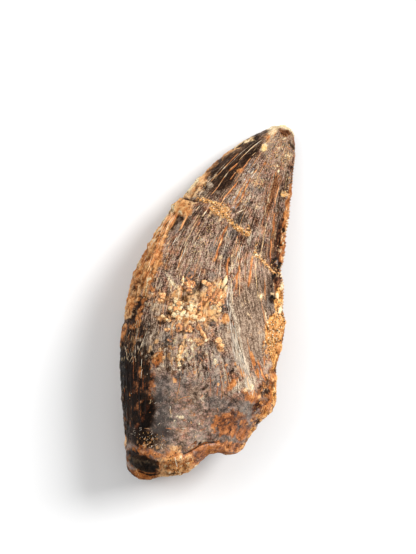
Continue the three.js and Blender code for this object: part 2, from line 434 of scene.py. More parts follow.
# Each seam: tone, width, depth (below zero) or rise in millimetres, and its points (across, along).
SEAMS = [
    # the tip's rim and chipped strip
    ("cream", 0.85, 0.06, [(0.95, 22.1), (1.4, 22.65), (2.1, 22.95), (2.9, 22.9), (3.4, 22.5), (3.7, 22)]),
    ("cream", 0.36, 0.04, [(1.1, 22.3), (0.9, 21.8), (0.75, 21.3)]),
    ("orange", 0.34, 0.04, [(0.75, 21.3), (0.66, 20.9), (0.52, 20.5)]),
    ("pale", 0.22, 0.02, [(1.45, 22.2), (1.15, 21.3), (0.95, 20.7)]),
    ("cream", 0.3, 0.04, [(0.2, 21.8), (0.75, 22.15)]),
    ("cream", 0.26, 0.04, [(-1.45, 20.1), (-1.75, 19.7), (-2.05, 19.35)]),
    ("ochre", 0.24, 0.04, [(-2.3, 18.9), (-3.1, 18.1), (-3.6, 17.5)]),
    ("drab", 0.5, 0.04, [(-3.4, 17.7), (-4.4, 16.2), (-5, 15.2)]),
    ("drab", 0.7, 0.03, [(-4.6, 15.8), (-5.2, 14.8), (-5.7, 13.9)]),
    # long light cracks of the front half
    ("pale", 0.12, -0.05, [(0.05, 20.6), (-0.9, 19.2), (-1.9, 17.7), (-2.2, 17)]),
    ("orange", 0.2, -0.05, [(-2.15, 17), (-2.25, 16.5), (-2.6, 16.1), (-2.9, 15.75)]),
    ("pale", 0.13, -0.05, [(-2.9, 15.75), (-2.98, 15.2), (-3.35, 14.3), (-3.65, 13.3), (-4.2, 12)]),
    ("pale", 0.12, -0.04, [(-0.3, 18.8), (-0.7, 18.1)]),
    ("orange", 0.18, -0.05, [(-0.7, 18.1), (-1.15, 17), (-1.4, 16.2)]),
    ("pale", 0.13, -0.05, [
        (-2.25, 18.2), (-2.9, 17.1), (-3.3, 16.3), (-3.8, 15.3), (-4.3, 14.4), (-4.8, 13.6),
    ]),
    ("orange", 0.16, -0.04, [(-1.95, 15.9), (-2.2, 15.2), (-2.55, 14.4)]),
    ("orange", 0.2, -0.05, [(-1.45, 14.9), (-1.65, 14.2), (-2.1, 13.3), (-2.6, 12.2), (-2.7, 11.8)]),
    ("cream", 0.17, -0.04, [(-0.05, 16.5), (-0.2, 15.9)]),
    ("orange", 0.2, -0.05, [(0.35, 16.8), (0.1, 16.1)]),
    ("orange", 0.28, -0.06, [(-0.12, 15.6), (-0.28, 14.5), (-0.45, 13.3), (-0.58, 12.4), (-0.8, 11.5)]),
    # the long gold line of the back half
    ("orange", 0.17, -0.05, [(3.4, 16.6), (3.42, 15.2), (3.5, 13.8), (3.62, 12.6)]),
    ("orange", 0.2, -0.05, [(3.85, 12.4), (4.05, 11.2), (4.35, 9.9)]),
    ("orange", 0.2, -0.05, [(4.4, 9.2), (4.6, 8.1), (4.8, 7.2), (5.1, 6.2)]),
    # the filled break
    ("sand", 0.42, 0.05, [(-5.6, 11.35), (-4.4, 11.45), (-3.3, 11.4)]),
    ("sand", 0.6, 0.08, [(-2.2, 10.5), (-1.3, 10.05), (-0.8, 9.65), (-0.2, 9.3), (0.5, 9.15), (1.3, 8.8)]),
    ("sand", 0.42, 0.06, [(1.1, 9.9), (1.5, 9.35), (1.45, 8.75)]),
    ("dark", 0.18, -0.2, [(-7.4, 11.05), (-6.2, 10.95), (-5.5, 11.1)]),
    ("sand", 0.24, -0.1, [(2.75, 8), (2.8, 7.3), (2.85, 6.8)]),
    ("sand", 0.26, 0.03, [(3.1, 6.7), (3.7, 6.6), (4.2, 6.25), (4.9, 5.85), (5.5, 5.45), (6.4, 5.4)]),
    ("cream", 0.16, 0.03, [(-0.75, 10.85), (-0.25, 11.3), (0.2, 11.8)]),
    # cracks below the break
    ("orange", 0.34, 0.02, [(-7.35, 9.4), (-7.6, 8.4), (-7.85, 7.2), (-7.95, 6.8)]),
    ("orange", 0.3, 0.02, [(-6.15, 9.1), (-6.35, 8.2), (-6.6, 7)]),
    ("cream", 0.2, 0.03, [(-8.25, 10.6), (-8.6, 9.6), (-8.75, 8.8)]),
    ("cream", 0.18, -0.05, [(-6.55, 6.6), (-6.85, 5.8), (-7, 4.9)]),
    ("cream", 0.22, 0.03, [(-4.05, 10.6), (-4.25, 9.9), (-4.42, 9.4)]),
    ("cream", 0.15, -0.06, [(-4.6, 9.8), (-4.9, 8.8), (-5.2, 7.6), (-5.4, 6.4), (-5.6, 5.2)]),
    ("pale", 0.13, -0.04, [(-5.6, 5.2), (-5.55, 3.6), (-5.5, 2.2)]),
    ("pale", 0.14, -0.04, [(-5.05, 10.7), (-5.4, 9.8)]),
    ("orange", 0.36, -0.04, [(-1.2, 9.3), (-1.5, 7.9), (-1.4, 7.1), (-1.58, 6.2), (-1.45, 5.4), (-1.5, 4.8)]),
    ("pale", 0.16, -0.04, [(0.35, 8.6), (0.3, 7.3)]),
    ("orange", 0.3, -0.05, [(-0.05, 5.6), (0.05, 4.8), (0.2, 4.1), (0.45, 3.4), (0.55, 2.5)]),
    ("orange", 0.34, -0.06, [(1.42, 5), (1.6, 4.4), (1.5, 3.8), (1.7, 3), (1.8, 2.2)]),
    ("orange", 0.34, -0.06, [(2.72, 6.5), (2.8, 5.7), (3, 4.6), (3.15, 3.6), (3.3, 2.8)]),
    ("dark", 0.14, -0.16, [(-7.5, 2.1), (-7, 2.05), (-6.3, 1.9), (-5.6, 1.55)]),
    ("cream", 0.42, 0.08, [(-6.5, 1.6), (-6.1, 1.1), (-5.5, 0.8), (-4.9, 0.3)]),
    ("cream", 0.14, 0, [(-5.6, 0.9), (-5.6, -0.5)]),
    # streaks and cracks of the pitted middle
    ("orange", 0.5, 0.14, [(-1.3, -3.3), (-0.5, -4), (0.2, -4.6)]),
    ("ochre", 0.45, 0.06, [(-2.4, -5.5), (-2.5, -6.7), (-2.6, -7.7), (-2.2, -8.6)]),
    # the pale band that runs down to the back margin, and its neighbours
    ("pale", 1.1, 0.02, [(0.9, 3), (1.6, 1.2), (2.3, -0.3), (3, -2)]),
    ("pale", 1.5, 0.04, [(2.7, -1.2), (3.6, -3.6), (4.6, -5.5), (5.8, -7)]),
    ("pale", 1.1, 0.05, [(5.4, -6.5), (6.3, -8), (7.1, -9)]),
    ("cream", 0.26, 0.08, [(6, -7.4), (6.3, -8.1), (6.6, -8.9)]),
    ("pale", 0.42, 0.03, [(1.2, 2.2), (2, 0.2), (2.9, -2), (3.6, -3.6)]),
    ("pale", 0.42, 0.03, [(3.6, -2.8), (4.5, -4.7), (5.5, -6.4), (6.2, -7.3)]),
    ("pale", 0.95, 0.06, [(3.6, -4), (4.6, -5.6), (5.6, -6.8), (6.5, -8.2)]),
    ("rust", 0.5, 0, [(7.3, -8.9), (6.4, -9.2), (6, -8.8)]),
    ("dark", 0.12, -0.08, [(1.2, 1.2), (1.6, 0), (1.5, -0.7)]),
    ("dark", 0.12, -0.1, [(2, -0.9), (2.8, -2.9), (3.7, -4.8), (4.7, -6.5)]),
    ("dark", 0.12, -0.06, [(3.3, -3), (4.3, -5), (5.3, -6.5)]),
    ("orange", 0.44, -0.04, [(5.75, -4.5), (6.1, -5.2), (6.6, -6)]),
    ("orange", 0.36, -0.04, [(6.8, -5.3), (7.2, -6), (7.7, -6.7), (8.2, -7.4)]),
    ("orange", 0.26, -0.04, [(7.35, -4.7), (7.6, -5.2), (7.8, -5.7)]),
    ("rust", 0.34, 0, [(6.9, -6.3), (7.15, -6.8), (7.4, -7.3)]),
    ("dark", 0.12, -0.08, [(4.6, -7.7), (5.1, -8.6), (5.5, -9.8)]),
    # the lower crown
    ("dark", 0.12, -0.08, [(1.9, -10.5), (2.4, -11.5), (2.9, -12.8)]),
    ("pale", 0.13, -0.03, [(-1.25, -12.6), (-0.9, -12.1), (-0.3, -11.8), (0.5, -11.5)]),
    ("pale", 0.16, 0.03, [(1.2, -11.8), (1.5, -11.3), (1.65, -10.8)]),
    ("dark", 0.12, -0.08, [(3.2, -9.9), (4.2, -10.3), (5.2, -10.5), (6, -11.2), (6.2, -12)]),
    ("cream", 0.14, 0.04, [(-1.9, -13.2), (-1.75, -13.9), (-1.3, -14.6)]),
    ("pale", 0.1, -0.03, [
        (-4.4, -16.9), (-3, -16.5), (-1.5, -16.1), (-0.4, -15.9), (0.4, -15.5), (2.2, -15.1), (4, -14.7),
    ]),
    ("pale", 0.12, 0, [(-4.3, -16.85), (-3.7, -16.75), (-3.2, -16.6)]),
    ("orange", 0.12, 0, [(-1.7, -16.15), (-1.2, -16), (-0.8, -16)]),
    ("cream", 0.12, 0, [(0.1, -15.7), (0.5, -15.4), (1.1, -15.3)]),
    ("orange", 0.12, 0, [(2.1, -15.1), (2.6, -15.05), (3.2, -14.9)]),
    ("pale", 0.13, -0.04, [(-8.3, -4.4), (-8.2, -6.4), (-7.9, -8.6), (-7.4, -10.2)]),
    ("pale", 0.12, -0.04, [(-7, -5), (-7.1, -6.8), (-7.4, -8.8)]),
    ("cream", 0.13, -0.04, [(-9.2, -7.9), (-8.7, -8.7), (-8.2, -9.8)]),
    ("cream", 0.12, -0.03, [(9.15, -10), (9.05, -11), (9.1, -12)]),
    # the broken base
    ("dark", 0.2, -0.3, [(1.3, -18.5), (2.4, -17.5), (3.3, -16.6), (4.6, -16.1), (5, -15.9)]),
    ("rust", 1.4, 0.14, [(1.5, -19), (2.6, -17.9), (3.6, -17), (4.8, -16.5)]),
    ("rust", 1.3, 0.1, [(4.8, -16.4), (6.5, -16.2), (8, -15.8)]),
    ("cream", 0.12, 0.02, [(-3.9, -21.5), (-3.5, -22.1), (-3.2, -22.5)]),
    ("black", 0.24, -0.25, [(-3.4, -22), (-2.3, -22.2), (-1.4, -22), (-0.9, -21.6)]),
    ("black", 0.2, -0.2, [(-4.9, -20.2), (-3.9, -20.45), (-2.6, -20.2), (-1.4, -20.3)]),
    ("orange", 0.2, 0.1, [(-1.2, -20.3), (-1.05, -20.9), (-0.75, -21.4)]),
    ("cream", 0.16, 0.04, [(0.3, -18.9), (0.7, -19.7), (1.1, -20.4)]),
]

# The tones, in the order in which they lie over each other.
TONES = (
    "drab", "grey", "umber", "dark", "russet", "rust",
    "pale", "ochre", "sand", "orange", "cream", "pearl", "black",
)
PATCH_SOFTNESS = 0.75  # millimetres over which a patch fades
SEAM_SOFTNESS = 0.17  # and a seam
EDGE_WANDER = 0.22  # how far their edges wander

# Bands along the edges of the crown: (along, width in from the edge).
FRONT_BAND = [
    (-23, 0.1), (-19, 0.2), (-17.5, 0), (-5, 0), (-4.3, 0.9), (-2, 1), (0, 1.3), (3, 1.6), (5, 1.4),
    (6.5, 0.8), (7.4, 0.5), (8.6, 0.5), (9.2, 1.6), (10.8, 1.8), (11.2, 0.2), (11.6, 1.3), (13, 0.7),
    (14.2, 0.3), (15.5, 0.12), (17.5, 0.12), (18.5, 0),
]
FRONT_GLOW = [
    (-4, 0), (-2, 0.3), (1, 0.8), (4, 0.9), (6, 0.5), (8, 0.3), (10, 0.8), (11, 0), (13, 0.2), (15, 0),
]
FRONT_RIM = [
    (-1, 0), (0, 0.06), (5, 0.16), (10.5, 0.2), (10.8, 0), (11.2, 0.1), (14, 0.1), (15, 0), (18.4, 0),
    (18.8, 0.35), (20.3, 0.35), (20.7, 0),
]
BACK_BAND = [
    (-16, 0.1), (-12.5, 0), (-11, 0.15), (-8, 0.05), (-6, 0), (-4.4, 0.3), (-3, 1.3), (-1.5, 1.8),
    (0.3, 1.3), (0.7, 0.5), (3, 0.35), (4, 0),
]
BACK_FLUSH = [(2, 0), (4, 0.4), (5.5, 0.5), (6.5, 0.6), (9, 0.7), (11, 0.5), (12.5, 0.1), (13.5, 0)]
BACK_RIM = [(6.2, 0), (6.8, 0.03), (16, 0.03), (17, 0)]
# Each band: tone, edge, widths, softness, most cover, patchiness, rise.
BANDS = [
    ("ochre", "front", FRONT_BAND, 0.6, 0.85, 0.5, 0.2),
    ("sand", "back", BACK_BAND, 0.5, 0.85, 0.5, 0.1),
    ("russet", "back", BACK_FLUSH, 0.7, 0.85, 0.4, 0),
    ("cream", "front", FRONT_RIM, 0.4, 0.45, 0.9, 0),
    ("orange", "back", BACK_RIM, 0.3, 0.85, 0.3, 0),
    ("orange", "front", FRONT_GLOW, 0.9, 0.85, 0.8, 0),
]

# Where the dark stain of the lower crown ends, and the glassy panels near the tip: (along, across).
STAIN_REACH = [
    (-23, -4.6), (-19.4, -6), (-18, -6.2), (-17, -5.2), (-16.4, -3.6), (-14, -3.7), (-12, -4.3),
    (-10, -5), (-8, -5.9), (-6.5, -7.2), (-5, -8.6), (-4, -9.6), (-3, -11),
]
PANEL_REACH = [
    (11.2, -5.5), (12.2, -4), (13, -3), (14.2, -2.1), (16, -1.45), (17.5, -0.8), (19, 0),
    (20.3, 0.25), (21.6, 0.6), (22.3, 0.9),
]

# The pitted ground: (across, along), (half width, half length), strength.
PITTED_GROUND = [
    ((-3.2, -1.2), (3.4, 3.4), 1),
    ((-0.6, -0.9), (2.3, 3.6), 1),
    ((-1.2, -5.6), (4, 2.8), 0.6),
    ((-6.8, -1.8), (2, 1.9), 0.7),
]
# Where it stands higher, with more of its upper layers: (across, along), (half width, half length), lift.
RAISED_GROUND = [
    ((-0.2, 0.9), (1.9, 2.6), 0.3),
    ((-3.4, -1.9), (1.9, 1.6), 0.15),
    ((0.3, 2.6), (0.7, 1.2), 0.3),
]
# Its layers from the top down: tone, level of the middle, half height.
GROUND_LAYERS = [
    ("cream", 0.86, 0.26),
    ("orange", 0.38, 0.24),
    ("ochre", 0.02, 0.16),
    ("grey", -0.4, 0.08),
    ("dark", -1.05, 0.3),
]

# Many small spots strewn at random: tone, number, (across, along), (half width, half length), sizes, rise.
STREWN = [
    ("orange", 26, (2.4, 18.6), (1.5, 2.6), (0.06, 0.14), 0.02),
    ("cream", 44, (2.9, 19.4), (1, 2.4), (0.05, 0.11), 0.03),
    ("dark", 30, (3.4, 18.6), (1.1, 3), (0.08, 0.18), -0.03),
    ("cream", 30, (5.7, 9.2), (0.4, 3.2), (0.07, 0.16), 0.05),
    ("black", 16, (5.4, 9), (0.5, 3.4), (0.12, 0.22), -0.05),
    ("cream", 20, (6.7, 4.6), (0.7, 2.4), (0.07, 0.18), 0.05),
    ("black", 16, (6.4, 4), (0.7, 3), (0.12, 0.26), -0.06),
    ("orange", 50, (7.9, -1.6), (1.2, 3.4), (0.12, 0.3), 0.03),
    ("pale", 70, (-0.8, 13), (1.4, 1.2), (0.06, 0.16), 0.03),
    ("dark", 30, (-0.8, 12.6), (1.8, 1.6), (0.06, 0.14), -0.03),
    ("pale", 60, (-5.6, 13), (1.2, 1.8), (0.08, 0.24), 0.04),
    ("dark", 30, (-5.8, 13), (1.3, 2), (0.08, 0.24), -0.05),
    ("umber", 40, (-8.9, 3), (0.8, 7.5), (0.12, 0.4), -0.05),
    ("orange", 40, (-8.6, 2), (0.9, 8), (0.14, 0.42), 0.03),
    ("orange", 34, (-8.5, 3.4), (0.5, 5), (0.25, 0.55), 0.06),
    ("umber", 30, (-9.5, 1.6), (0.35, 5), (0.14, 0.36), -0.1),
    ("cream", 16, (-8.3, 4), (1.1, 7), (0.07, 0.16), 0.03),
    ("orange", 18, (-9.75, -4.6), (0.3, 4), (0.1, 0.24), 0.03),
    ("russet", 60, (-5.6, -12.5), (1.4, 5.4), (0.1, 0.34), 0.03),
    ("rust", 16, (-5.6, -12), (1.5, 5.4), (0.08, 0.18), 0.02),
    ("black", 50, (-6.6, -12.5), (1.8, 6), (0.15, 0.4), -0.04),
    ("drab", 50, (-5.6, -6.6), (3.2, 3.2), (0.2, 0.6), 0.03),
    ("ochre", 24, (-5.2, -6.6), (2.6, 3), (0.1, 0.26), 0.03),
    ("umber", 50, (-5, -6.6), (3.6, 3.4), (0.1, 0.36), -0.04),
    ("pale", 40, (-4.6, -6.6), (3.6, 3.4), (0.08, 0.24), 0.03),
    ("cream", 26, (-1.2, -6.6), (3.2, 2.6), (0.08, 0.22), 0.04),
    ("orange", 40, (0, -7.6), (4.6, 3.2), (0.07, 0.2), 0.02),
    ("grey", 36, (1.2, -8), (4.2, 3), (0.2, 0.6), 0.02),
    ("dark", 46, (1, -8.4), (4.6, 3), (0.08, 0.22), -0.03),
    ("russet", 30, (6.2, -13.6), (2.6, 1.9), (0.12, 0.4), 0.02),
    ("grey", 16, (6.2, -13), (2.4, 1.6), (0.14, 0.4), 0),
    ("rust", 30, (6, -13.8), (2.4, 1.8), (0.1, 0.36), 0.02),
    ("orange", 40, (6, -13.6), (2.8, 2.2), (0.06, 0.15), 0.01),
    ("russet", 60, (8.7, -9.6), (1, 4), (0.12, 0.36), 0.03),
    ("orange", 40, (8.9, -9.6), (0.9, 4.4), (0.08, 0.22), 0.03),
    ("dark", 30, (8.8, -9.8), (0.9, 4.4), (0.1, 0.26), -0.04),
    ("umber", 30, (8.9, -9), (0.9, 3.8), (0.15, 0.4), -0.06),
    ("drab", 24, (-2.8, 16.2), (1.5, 3.4), (0.2, 0.5), 0),
    ("umber", 20, (-5.9, 13), (0.9, 1.8), (0.12, 0.3), -0.05),
    ("orange", 26, (0.6, -14.6), (4.8, 2), (0.05, 0.11), 0.01),
    ("cream", 20, (0, -14.6), (5, 2.6), (0.05, 0.1), 0.01),
    ("orange", 16, (-2.8, -18.6), (2.8, 1.6), (0.05, 0.12), 0.02),
    ("ochre", 14, (-2.8, -18.2), (2.6, 1.6), (0.07, 0.16), 0.02),
    ("black", 10, (2.2, -20), (2.4, 1.5), (0.06, 0.14), -0.04),
    ("orange", 40, (1.4, -20), (2.6, 1.6), (0.08, 0.26), 0.04),
    ("cream", 44, (1.6, -20), (2.6, 1.6), (0.06, 0.18), 0.04),
    ("orange", 14, (3.1, -17.7), (1.8, 1.2), (0.06, 0.14), 0.05),
    ("russet", 20, (3.3, -17.6), (1.8, 1.2), (0.08, 0.24), -0.04),
    ("orange", 24, (6.3, -16.2), (2, 0.5), (0.08, 0.24), 0.05),
    ("dark", 26, (5, -16.9), (3.4, 0.8), (0.08, 0.2), -0.05),
    ("rust", 20, (-2.6, -19.5), (2.4, 0.6), (0.08, 0.3), 0.05),
    ("rust", 40, (-2.8, -21.2), (2.2, 1.1), (0.1, 0.32), 0.04),
    ("rust", 26, (7.9, -1.6), (0.9, 2.2), (0.1, 0.3), 0),
    ("rust", 26, (1.8, -19.9), (1.9, 1.3), (0.15, 0.5), 0.05),
    ("orange", 26, (1.8, -19.9), (1.9, 1.3), (0.15, 0.4), 0.06),
    ("umber", 14, (1.6, -20.3), (2, 1), (0.12, 0.35), -0.1),
    # painted glints: the whitish speck rows at (-0.4, 16) and (-1.2, 12.8)
    ("pearl", 16, (-0.4, 16), (0.5, 1.4), (0.05, 0.11), 0.02),
    ("pale", 40, (-0.2, 15.6), (0.9, 1.8), (0.05, 0.12), 0.02),
    ("pearl", 20, (-1.2, 12.8), (1.4, 1.3), (0.05, 0.11), 0.02),
    ("pale", 40, (-3.6, 5.4), (1.2, 1.6), (0.05, 0.12), 0.02),
]

# The shades of the grains of sediment, from iron to quartz.
GRAIN_SHADES = (0.03, 0.1, 0.3, 0.42, 0.46, 0.52, 0.58, 0.64, 0.74, 0.86)
# Grains of sediment: number, (across, along), (half width, half length), radii, lowest shade.
GRAINS = [
    (330, (-2.6, 10.9), (1.35, 0.75), (0.04, 0.09), 0),
    (90, (-4.6, 11.4), (1.2, 0.25), (0.04, 0.09), 0),
    (620, (7.9, -1.2), (1, 2.1), (0.04, 0.1), 0),
    (120, (7.7, -3.4), (0.9, 1.6), (0.04, 0.09), 0),
    (120, (2.2, 19.6), (1.4, 2.2), (0.03, 0.06), 0.6),
    (50, (3.4, 19.6), (0.7, 1.6), (0.03, 0.06), 0.6),
    (34, (0.45, 19.55), (0.3, 0.42), (0.09, 0.15), 0.76),
    (120, (2.3, 22.75), (1.3, 0.22), (0.04, 0.09), 0.85),
    (50, (4.6, 16.4), (0.35, 1.8), (0.03, 0.07), 0.5),
    (50, (4.45, 14.85), (0.6, 0.35), (0.04, 0.08), 0.7),
    (60, (0.9, 15.3), (0.8, 0.7), (0.03, 0.06), 0.75),
    (60, (-0.6, 13), (1.2, 1), (0.03, 0.05), 0.7),
    (60, (-5.8, 12.9), (0.9, 1.5), (0.03, 0.06), 0.5),
    (90, (5.6, 6), (1.2, 0.8), (0.03, 0.07), 0),
    (90, (8.8, -9.6), (0.8, 3.6), (0.03, 0.07), 0),
    (200, (1.4, -19.9), (1.9, 1.3), (0.03, 0.08), 0),
    (90, (-2.6, -18), (2.2, 1.1), (0.02, 0.045), 0.45),
    (90, (-8.8, 2), (0.8, 8), (0.03, 0.06), 0),
    (70, (-3.9, 5.6), (0.6, 1.7), (0.025, 0.05), 0.8),
    (50, (-3.2, 7.8), (0.5, 1.5), (0.025, 0.05), 0.75),
    (60, (0.6, 5.6), (0.5, 2.2), (0.025, 0.05), 0.8),
    (90, (-3.2, -1.9), (1.8, 1.5), (0.03, 0.07), 0.3),
    (90, (0, 1), (1.2, 2), (0.03, 0.07), 0.3),
]

# Fibres laid bare: number, the middle of their band, how far they stray to its sides, and their shades.
FIBRES = [
    (26, [(0.9, 2.4), (1.3, 0.6), (2, -1.2), (2.9, -2.9)], 0.26, (1, 1.4)),
    (44, [(2.3, -1.6), (3.5, -4), (4.5, -5.6), (5.5, -6.9), (6.7, -8.7)], 0.46, (0.95, 1.4)),
    (14, [(4.9, -6.2), (5.8, -7.3), (6.3, -8.1), (6.9, -9.1)], 0.34, (0.85, 1.2)),
    (12, [(1.3, 0.8), (2.3, -1.4), (3.5, -3.8), (4.5, -5.4), (6.5, -8.1)], 0.5, (-0.25, 0)),
    (18, [(5, -6), (5.9, -7.4), (6.8, -8.8), (7.5, -9.7)], 0.42, (0.95, 1.4)),
    (20, [(1, 7.6), (1.2, 5), (1, 2.8)], 0.5, (0.6, 1)),
    (70, [(-8.4, -4), (-8, -7), (-7.2, -10.5), (-6.2, -14), (-5.4, -17)], 1.4, (-0.5, -0.15)),
    (20, [(-8.2, -4), (-7.8, -7), (-6.9, -10.5), (-6, -14), (-5.4, -16)], 1.4, (-0.14, 0.02)),
    (26, [(-8.35, 8.9), (-8.85, 7), (-9.3, 5), (-9.65, 3), (-9.9, 1)], 0.12, (0.5, 0.9)),
    (34, [(-7.7, 9.2), (-8.3, 7.2), (-8.6, 5), (-8.8, 3), (-9.1, -0.5)], 0.45, (0.3, 0.75)),
    (16, [(-7.7, 9.2), (-8.3, 7.2), (-8.6, 5), (-8.8, 3), (-9.1, -0.5)], 0.6, (-0.2, 0.1)),
    (14, [(4.9, -7.9), (5.3, -9), (5.8, -9.9)], 0.2, (0.7, 1)),
    (20, [(1.2, 22.45), (0.95, 21.8), (0.75, 21.2)], 0.15, (0.75, 1)),
    (10, [(0.8, 21.5), (0.66, 21), (0.5, 20.5)], 0.11, (0.4, 0.7)),
]

# Thin stray lines: number, (across, along), (half width, half length), lengths, most lean, shades.
HAIRLINES = [
    (60, (-3.5, -17.7), (2.2, 1.2), (0.2, 0.6), 1, (0.95, 1.5)),
    (16, (-1, -13.6), (3, 2.8), (0.3, 0.7), 1, (0.7, 1.3)),
    (30, (-6, -13), (1.2, 4), (0.2, 0.4), 1, (0.1, 0.9)),
    (16, (3, -12.5), (3, 2), (0.2, 0.5), 1, (0.3, 0.8)),
    (50, (-1, -6.8), (4, 2.4), (0.3, 0.9), 0.6, (0.4, 0.9)),
    (26, (-8.2, -7), (1, 3.2), (0.5, 1.6), 0.2, (0.5, 0.85)),
    (24, (-7.4, 3.4), (0.8, 3.4), (0.4, 1.2), 0.3, (0.3, 0.8)),
    (26, (0.9, -19.7), (2, 1.2), (0.3, 0.7), 1.5, (0.3, 0.9)),
]

# Knobs of mineral on the worn middle: shade, (across, along), (half width, half length), height, lean.
NODULES = [
    (0.5, (-3.5, 0.9), (0.72, 0.78), 0.5, 0),
    (0.92, (-3.38, 0.98), (0.24, 0.22), 0.62, 0),
    (0.8, (-4.55, 1.35), (0.13, 0.46), 0.25, 12),
    (0.3, (-3.85, 2.05), (0.44, 0.56), 0.2, 10),
    (0.7, (-2.02, 1.92), (0.3, 0.28), 0.4, 0),
    (0.58, (-1.55, 1.85), (0.32, 0.3), 0.36, 0),
    (0.5, (-1.25, 0.7), (0.26, 1.25), 0.36, -6),
    (0.62, (-0.85, 1.3), (0.22, 1.15), 0.42, -8),
    (0.46, (-0.5, 0.4), (0.2, 1.1), 0.36, -8),
    (0.72, (-0.3, 1.6), (0.22, 0.9), 0.44, -10),
    (0.52, (0.05, 0.7), (0.2, 1.15), 0.38, -10),
    (0.93, (0.28, 2.45), (0.17, 0.9), 0.4, -10),
    (0.78, (0.5, 1.3), (0.2, 0.9), 0.42, -12),
    (0.6, (0.42, -0.1), (0.26, 0.6), 0.34, -12),
    (0.8, (0.62, -0.75), (0.24, 0.4), 0.34, -20),
    (0.48, (-1.75, -1.1), (0.2, 0.9), 0.32, 0),
    (0.56, (-1.45, -2.3), (0.18, 0.7), 0.28, -4),
    (0.9, (-4.65, -1.1), (0.26, 0.34), 0.28, 20),
    (0.7, (-4.2, -1.35), (0.38, 0.28), 0.24, 60),
    (0.6, (-4.25, -2.1), (0.42, 0.42), 0.22, 0),
    (0.9, (-3.95, -1.95), (0.22, 0.44), 0.3, -30),
    (0.84, (-4.35, -2.9), (0.34, 0.3), 0.26, 0),
    (0.62, (-3.85, -3), (0.32, 0.3), 0.22, -30),
    (0.88, (-3.5, -2.4), (0.24, 0.5), 0.3, -20),
    (0.92, (-2.8, -1.4), (0.3, 0.4), 0.3, 15),
    (0.68, (-2.4, -1.8), (0.36, 0.44), 0.24, -20),
    (0.84, (-2.05, -2.35), (0.4, 0.26), 0.24, 0),
    (0.84, (-5.05, -2.15), (0.24, 0.26), 0.3, 0),
    (0.66, (-6.35, -1), (0.34, 0.36), 0.3, 0),
    (0.5, (-6.55, -1.6), (0.28, 0.28), 0.24, 0),
    (0.8, (-5.6, -3.35), (0.34, 0.16), 0.22, -12),
    (0.76, (-4.85, -3.6), (0.4, 0.16), 0.22, -8),
    (0.48, (-3.42, -4.2), (0.42, 0.58), 0.42, 0),
    (0.54, (-2.2, -3.9), (0.44, 0.46), 0.42, 0),
    (0.9, (-2.15, -3.95), (0.16, 0.16), 0.5, 0),
    (0.54, (-1.1, -3.45), (0.24, 0.42), 0.34, 48),
    (0.6, (-0.45, -4.05), (0.22, 0.48), 0.32, 46),
    (0.7, (1.55, -4.3), (0.36, 0.34), 0.34, 30),
    (0.62, (1.95, -4.85), (0.3, 0.4), 0.32, 30),
    (0.2, (1, -0.45), (0.26, 0.46), 0.24, -20),
    (0.24, (0.3, -2.6), (0.4, 0.34), 0.26, 0),
    (0.26, (-0.1, -6.85), (0.46, 0.5), 0.28, 20),
    (0.22, (-4.1, -5.9), (0.44, 0.32), 0.26, 0),
    (0.66, (-2.5, -6.6), (0.24, 0.5), 0.28, 5),
    (0.74, (-2.45, -7.6), (0.22, 0.46), 0.28, 5),
    (0.84, (-2.2, -8.4), (0.2, 0.34), 0.26, 10),
    (0.56, (-0.6, -5.3), (0.3, 0.24), 0.26, 0),
    (0.6, (-4.7, -4.75), (0.3, 0.24), 0.24, 0),
]

# How bright the filling of a crack is, by its tone.
VEIN_SHADES = {"orange": 0.38, "cream": 0.8, "pale": 0.62, "dark": -0.3}

# How large the denticles of the back edge are: (along, size).
DENTICLE_SIZES = [(-13, 0.5), (-1, 0.5), (2, 0.8), (4, 1), (12, 1), (16, 0.7), (21, 0.45)]

